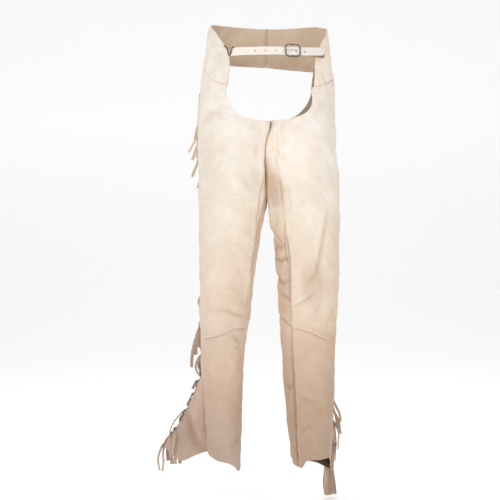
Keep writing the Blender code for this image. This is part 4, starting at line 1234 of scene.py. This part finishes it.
def strap(finishes):
    """Make the strap, with a pointed end and a row of punched holes."""
    angles = np.linspace(STRAP_TIP_ANGLE, STRAP_END_ANGLE, STRAP_STATIONS)
    shoulder = STRAP_TIP_ANGLE + math.degrees(STRAP_POINT_LENGTH / WAIST_RADIUS)
    tip_share = np.clip((angles - STRAP_TIP_ANGLE) / (shoulder - STRAP_TIP_ANGLE), 0, 1)
    half_widths = STRAP_WIDE / 2 * (STRAP_POINT_SHARE + (1 - STRAP_POINT_SHARE) * tip_share)
    rises = STRAP_TIP_RISE * smoothstep(angles, STRAP_RISE_FROM, STRAP_TIP_ANGLE)
    made = band("belt_strap", angles, half_widths, rises, [strap_lift(angle) for angle in angles], finishes)
    for x in HOLE_DISTANCES:
        angle = waist_angle(x)
        lift = strap_lift(angle)
        ends = [waist(angle, lift=lift - HOLE_PAST), waist(angle, lift=lift + STRAP_THICK + HOLE_PAST)]
        punch = linked("punch", mesh_of("punch", *tube(ends, HOLE_RADIUS, HOLE_SIDES)))
        cut = made.modifiers.new("hole", "BOOLEAN")
        cut.operation = "DIFFERENCE"
        cut.solver = "EXACT"
        cut.object = punch
        bpy.context.view_layer.update()
        result = bpy.data.meshes.new_from_object(made.evaluated_get(bpy.context.evaluated_depsgraph_get()))
        made.modifiers.remove(cut)
        made.data = result
        bpy.data.objects.remove(punch)
    made.data.shade_smooth()
    made.data.set_sharp_from_angle(angle=math.radians(SHARP["strap"]))


def billet(finish):
    """Make the short strap that holds the buckle to the left yoke, under the strap's point."""
    angles = np.linspace(BILLET_FROM_ANGLE, BILLET_TO_ANGLE, BILLET_STATIONS)
    level = np.ones(len(angles))
    lifts = SEAM_GAP * level
    made = band("belt_billet", angles, BILLET_WIDE / 2 * level, 0 * level, lifts, [finish, finish])


def buckle_point(along, height, lift):
    """Return a point near the buckle: along runs from its middle towards the wearer's right."""
    along_way = unit(waist(BUCKLE_ANGLE + 1) - waist(BUCKLE_ANGLE - 1))
    up_way = unit(waist(BUCKLE_ANGLE, 5.0) - waist(BUCKLE_ANGLE, -5.0))
    out_way = unit(np.cross(up_way, along_way))
    return waist(BUCKLE_ANGLE) + along_way * along + up_way * height + out_way * lift


def metal_piece(name, node, slot, points, faces, finish):
    made = new_piece(name, node, points, faces, [finish])
    made.data.set_sharp_from_angle(angle=math.radians(SHARP["metal"]))


def buckle(finish):
    """Make the buckle: a rounded wire frame with a bar that passes behind the strap."""
    reach = BUCKLE_LONG / 2 - BUCKLE_WIRE - BUCKLE_CORNER
    rise = BUCKLE_HIGH / 2 - BUCKLE_WIRE - BUCKLE_CORNER
    path = []
    for quarter, (along_side, up_side) in enumerate(((1, 1), (-1, 1), (-1, -1), (1, -1))):
        for turn in np.radians(90 * quarter + np.linspace(0, 90, CORNER_STEPS + 1)):
            along = along_side * reach + BUCKLE_CORNER * math.cos(turn)
            path.append(buckle_point(along, up_side * rise + BUCKLE_CORNER * math.sin(turn), BUCKLE_LIFT))
    points, faces = tube(path, BUCKLE_WIRE, WIRE_SIDES["ring"], closed=True)
    end = BUCKLE_HIGH / 2 - BUCKLE_WIRE
    bend = STRAP_WIDE / 2 + BAR_ROOM + BAR_WIRE + SEAM_GAP
    half_bar = [(end, BUCKLE_LIFT), (bend + BAR_ROOM, BAR_LIFT + BAR_KNEE), (bend, BAR_LIFT)]
    bar = half_bar + [(0, BAR_LIFT)] + [(-height, lift) for height, lift in half_bar[::-1]]
    bar_path = spaced([buckle_point(0, height, lift) for height, lift in bar], WIRE_STEPS["bar"])
    bar_points, bar_faces = tube(bar_path, BAR_WIRE, WIRE_SIDES["bar"])
    faces += [[number + len(points) for number in face] for face in bar_faces]
    metal_piece("buckle_ring", "buckle_frame", "nickel", np.concatenate([points, bar_points]), faces, finish)


def prong(finish):
    """Make the buckle's prong: up through a hole of the strap, then over to the frame."""
    along_way = buckle_point(1.0, 0.0, 0.0) - buckle_point(0.0, 0.0, 0.0)
    at_hole = float(np.dot(waist(waist_angle(HOLE_DISTANCES[4])) - waist(BUCKLE_ANGLE), along_way))
    root = -(BAR_WIRE + PRONG_WIRE + SEAM_GAP)
    rest = BUCKLE_LONG / 2 - BUCKLE_WIRE
    top = BUCKLE_LIFT + BUCKLE_WIRE + PRONG_WIRE + SEAM_GAP
    path = spaced([buckle_point(along, 0.0, lift) for along, lift in (
        (root, BAR_LIFT), (at_hole + 1.6, BAR_LIFT + 0.2), (at_hole, 6.2), (at_hole, 8.4),
        (at_hole + 1.6, top), (0.0, top + 0.4), (rest + 1.0, top))], WIRE_STEPS["prong"])
    taper = PRONG_WIRE * (1 - 0.35 * np.linspace(0, 1, len(path)) ** 4)
    wire = tube(path, taper, WIRE_SIDES["prong"])
    metal_piece("buckle_prong_wire", "buckle_prong", "nickel", *wire, finish)


def hook(finish):
    """Make the bent wire that hooks the strap to the front edge of the right yoke."""
    path = [waist(waist_angle(x, height), height, lift) for x, height, lift in HOOK_BENDS]
    wire = tube(spaced(path, WIRE_STEPS["hook"]), HOOK_WIRE, WIRE_SIDES["hook"])
    metal_piece("hook_wire", "hook", "dark_wire", *wire, finish)


def coloured(channels):
    """Turn red, green and blue of 255 into linear light."""
    shares = [value / 255 for value in channels]
    return tuple(s / 12.92 if s <= 0.04045 else ((s + 0.055) / 1.055) ** 2.4 for s in shares)


class Nodes:
    """A small helper that adds and links the nodes of one material."""

    def __init__(self, name):
        self.material = bpy.data.materials.new(name)
        self.material.use_nodes = True
        self.tree = self.material.node_tree
        self.place = self.add("ShaderNodeTexCoord", {}, "Object")

    def fill(self, node, inputs):
        """Give inputs of a node a link or a value, by name or number."""
        for key, value in inputs.items():
            if isinstance(value, bpy.types.NodeSocket):
                self.tree.links.new(value, node.inputs[key])
            else:
                node.inputs[key].default_value = value

    def add(self, kind, inputs, output=0, **settings):
        """Add a node, fill its inputs and return one of its outputs."""
        node = self.tree.nodes.new(kind)
        for key, value in settings.items():
            setattr(node, key, value)
        self.fill(node, inputs)
        return node.outputs[output]

    def noise(self, scale, detail=3.0, roughness=0.55, stretch=(1, 1, 1)):
        place = self.add("ShaderNodeMapping", {"Scale": stretch, "Vector": self.place})
        inputs = {"Scale": scale, "Detail": detail, "Roughness": roughness, "Vector": place}
        return self.add("ShaderNodeTexNoise", inputs, "Fac")

    def ranged(self, source, low, high, to_low=0, to_high=1):
        inputs = {"Value": source, "From Min": low, "From Max": high, "To Min": to_low, "To Max": to_high}
        return self.add("ShaderNodeMapRange", inputs, "Result")

    def scaled(self, colour, *rows):
        """Scale a colour by factors: each row holds a source, its range and the factors there."""
        for row in rows:
            inputs = {0: colour, "Scale": self.ranged(*row)}
            colour = self.add("ShaderNodeVectorMath", inputs, "Vector", operation="SCALE")
        return colour

    def mixed(self, share, first, second):
        inputs = {0: share, 6: (*first, 1), 7: (*second, 1)}
        return self.add("ShaderNodeMix", inputs, 2, data_type="RGBA")

    def tinted(self, colour, share, first, second):
        """Multiply a colour by a tint that goes from the first to the second with the share."""
        inputs = {0: colour, 1: self.mixed(share, first, second)}
        return self.add("ShaderNodeVectorMath", inputs, "Vector", operation="MULTIPLY")

    def attribute(self, name):
        return self.add("ShaderNodeAttribute", {}, "Fac", attribute_name=name)

    def down_leg(self, rows):
        """Return a colour that changes with height as a table says."""
        up = self.add("ShaderNodeSeparateXYZ", {0: self.place}, "Z")
        ramp = self.add("ShaderNodeValToRGB", {0: self.ranged(up, TONE_LOW * MM, TONE_TOP * MM)})
        stops = ramp.node.color_ramp.elements
        for i, (height, *channels) in enumerate(sorted(rows)):
            where = (height - TONE_LOW) / (TONE_TOP - TONE_LOW)
            stop = stops[i] if i < 2 else stops.new(where)
            stop.position = where
            stop.color = (*coloured(channels), 1)
        return ramp

    def finished(self, tone, bumps, **values):
        """Fill the shader, chain bumps from (source, metres) pairs, and return the material."""
        named = {name.replace("_", " "): value for name, value in values.items()}
        normal = {}
        for source, distance in bumps:
            inputs = {"Distance": distance, "Height": source, **normal}
            normal = {"Normal": self.add("ShaderNodeBump", inputs)}
        self.fill(self.tree.nodes["Principled BSDF"], {"Base Color": tone, **named, **normal})
        return self.material


def suede(name, rows, inside=False):
    """Make suede: mottled nap over the leg's tone, with painted light and shade on ridges, creases and
    seams.
    """
    nodes = Nodes(name)
    cloud = nodes.noise(8, 3)
    tan = nodes.noise(17, 4, 0.6, (1.0, 1.0, 0.7))
    streak = nodes.noise(26, 4, 0.6, (1.0, 1.0, 4.5))
    mottle = nodes.noise(75, 4)
    nap = nodes.noise(900, 2, 0.7)
    tone = nodes.tinted(nodes.down_leg(rows), nodes.ranged(cloud, 0.36, 0.62), TAN_TINT, CREAM_TINT)
    tone = nodes.tinted(tone, nodes.ranged(tan, 0.36, 0.64), TAN_TINT, CREAM_TINT)
    tone = nodes.scaled(tone, (streak, 0.32, 0.68, 0.975, 1.018), (mottle, 0.3, 0.7, 0.965, 1.025),
                        (nap, 0.25, 0.75, 0.95, 1.035))
    if not inside:
        crease, seam, patch_shade = (nodes.attribute(name) for name in ("crease", "seam", "patch_shade"))
        # Painted shade in creases, warm tinted, and a painted highlight on ridges a line below.
        tone = nodes.tinted(tone, nodes.ranged(crease, -6.0, 0.0), CREASE_TINT, UNTINTED)
        # Painted shadow under the edges of lapped seams; the edge on top is lightened a line below.
        tone = nodes.tinted(tone, nodes.ranged(seam, -1.0, 0.0), SEAM_TINT, UNTINTED)
        tone = nodes.scaled(tone, (crease, 0.0, 2.0, 1.0, 1.05), (seam, 0.0, 1.0, 1.0, SEAM_LIGHT))
        # Painted shade in patches, where shade falls between the legs and beside folds.
        tone = nodes.tinted(tone, patch_shade, UNTINTED, SHADE_PATCH_TINT)
    bumps = [(cloud, 0.0020), (streak, 0.0012), (mottle, 0.0008), (nap, 0.00025)]
    return nodes.finished(tone, bumps, Roughness=nodes.ranged(mottle, 0.3, 0.7, 0.88, 0.98),
                          Specular_IOR_Level=0.2, Sheen_Weight=0.18, Sheen_Roughness=0.55,
                          Sheen_Tint=(1.0, 0.95, 0.88, 1))


def fringe_suede():
    """Make the fringe's suede: each strand has a tone of its own, partly painted shade, and a painted shade
    at its root.
    """
    nodes = Nodes("fringe_suede")
    mottle = nodes.noise(80, 3)
    nap = nodes.noise(900, 2, 0.7)
    # Painted shade: dark tones for strands that hang in shadow, and darker roots.
    tone = nodes.scaled(
        nodes.down_leg(FRINGE_TONES),
        (nodes.attribute("strand"), -1, 1, 0.20, 1.08), (nodes.attribute("root"), 0, 1, 1.0, 0.72),
        (mottle, 0.3, 0.7, 0.93, 1.03), (nap, 0.25, 0.75, 0.95, 1.03))
    bumps = [(mottle, 0.0005), (nap, 0.0002)]
    return nodes.finished(tone, bumps, Roughness=0.92, Specular_IOR_Level=0.2, Sheen_Weight=0.15)


def strap_leather(name, dull, bright):
    """Make the strap's smooth leather, between two tones."""
    nodes = Nodes(name)
    cloud = nodes.noise(40, 3)
    grain = nodes.noise(600, 3, 0.6)
    tone = nodes.mixed(nodes.ranged(cloud, 0.3, 0.7), coloured(dull), coloured(bright))
    tone = nodes.scaled(tone, (grain, 0.25, 0.75, 0.96, 1.02))
    return nodes.finished(tone, [(cloud, 0.0008), (grain, 0.00018)], Specular_IOR_Level=0.3,
                          Roughness=nodes.ranged(grain, 0.3, 0.7, 0.62, 0.78), Sheen_Weight=0.1)


def thread():
    """Make waxed thread with a fine twist."""
    nodes = Nodes("thread")
    twist = nodes.noise(1400, 2)
    tone = nodes.mixed(nodes.ranged(twist, 0.3, 0.7), coloured(THREAD_TONES[0]), coloured(THREAD_TONES[1]))
    return nodes.finished(tone, [(twist, 0.0002)], Roughness=0.6)


def metal(name, channels, low, high):
    """Make a worn metal whose polish varies."""
    nodes = Nodes(name)
    wear = nodes.noise(260, 4)
    worn = coloured([value * 0.82 for value in channels])
    tone = nodes.mixed(nodes.ranged(wear, 0.35, 0.65), worn, coloured(channels))
    roughness = nodes.ranged(wear, 0.3, 0.7, low, high)
    return nodes.finished(tone, [(wear, 0.0001)], Roughness=roughness, Metallic=1.0)


def studio():
    """Set the floor and backdrop, the lights and the camera."""
    rounded = [(FLOOR_BACK + FLOOR_BEND * math.sin(turn), FLOOR_BEND * (1 - math.cos(turn)))
               for turn in np.linspace(0, math.pi / 2, 13)]
    profile = [(-FLOOR_HALF, 0.0), *rounded, (FLOOR_BACK + FLOOR_BEND, WALL_TOP)]
    points = [(x, y, FLOOR_HEIGHT + z) for y, z in profile for x in (-FLOOR_HALF, FLOOR_HALF)]
    faces = [(2 * i, 2 * i + 1, 2 * i + 3, 2 * i + 2) for i in range(len(profile) - 1)]
    mesh = mesh_of("studio_sweep", points, faces)
    mesh.shade_smooth()
    nodes = Nodes("studio_white")
    grain = nodes.ranged(nodes.noise(3, 2), 0, 1, 0.93, 0.95)
    mesh.materials.append(nodes.finished((0.92, 0.92, 0.92, 1), [], Roughness=grain,
                                         Emission_Color=(1, 1, 1, 1), Emission_Strength=0.32))
    linked("studio_sweep", mesh)

    world = bpy.data.worlds.new("studio_air")
    world.use_nodes = True
    air = world.node_tree.nodes["Background"].inputs
    air["Color"].default_value = (1.0, 1.0, 1.0, 1)
    air["Strength"].default_value = 0.40
    bpy.context.scene.world = world
    for name, place, target, size, power in LIGHTS:
        light = bpy.data.lights.new(name, "AREA")
        light.shape = "DISK"
        light.size = size
        light.energy = power
        lamp = linked(name, light)
        lamp.location = place
        lamp.rotation_euler = (Vector(target) - Vector(place)).to_track_quat("-Z", "Y").to_euler()

    lens = bpy.data.cameras.new("studio_camera")
    lens.lens = CAMERA_LENS
    lens.sensor_width = CAMERA_SENSOR
    camera = linked("studio_camera", lens)
    camera.location = CAMERA_PLACE
    camera.rotation_euler = (math.pi / 2, 0, 0)
    bpy.context.scene.camera = camera
    bpy.context.scene.view_settings.view_transform = "Standard"


def main():
    finishes = {}
    for side in SIGN:
        for kind, (share, warm) in LINING.items():
            rows = TONES["left" if kind == "yoke" else side]
            lining = [(h, r * share, g * share * (1 + warm) / 2, b * share * warm) for h, r, g, b in rows]
            inside = suede(kind + "_inside_" + side, lining, inside=True)
            finishes[side, kind] = [suede(kind + "_suede_" + side, TONES[side]), inside]
    thread_finish = thread()
    fringe_finish = fringe_suede()
    for number, side in enumerate(SIGN):
        made = leg(side, finishes)
        for seam, slot, parts in SEWN:
            lines = []
            for part, border in parts:
                if border == "first" and side == "left":
                    continue
                line, ways = border_line(made[part], border)
                # The inseam isn't sewn along the scoop.
                free = (part, border) == ("front_thigh", "last")
                unsewn = SCOOP_ROWS + len(FINE_STEPS) - 2 if free else 0
                lines.append((line[unsewn:], ways[unsewn:]))
            stitches(side + "_" + seam + "_stitches", side, lines, thread_finish)
        for node, top, bottom in FRINGE_NODES[side]:
            fringe(node, side, top, bottom, fringe_finish, FRINGE_SEED + number + top)
    leather = strap_leather("strap_leather", (244, 234, 225), (250, 241, 233))
    # Painted shadow: the strap's rim and the billet that peeks out below it are dark brown, standing for the
    # shadow under the strap.
    edge_and_shadow_leather = strap_leather("strap_edge_painted_shadow", (150, 124, 100), (178, 150, 124))
    strap([leather, edge_and_shadow_leather])
    billet(edge_and_shadow_leather)
    # The buckle's nickel is dark, partly as antique nickel and partly as painted shade for the dark
    # surroundings it reflects.
    buckle(metal("nickel", (122, 114, 105), 0.22, 0.38))
    prong(metal("bright_nickel", (226, 220, 212), 0.25, 0.40))
    hook(metal("dark_wire", (96, 88, 82), 0.30, 0.50))
    studio()


main()
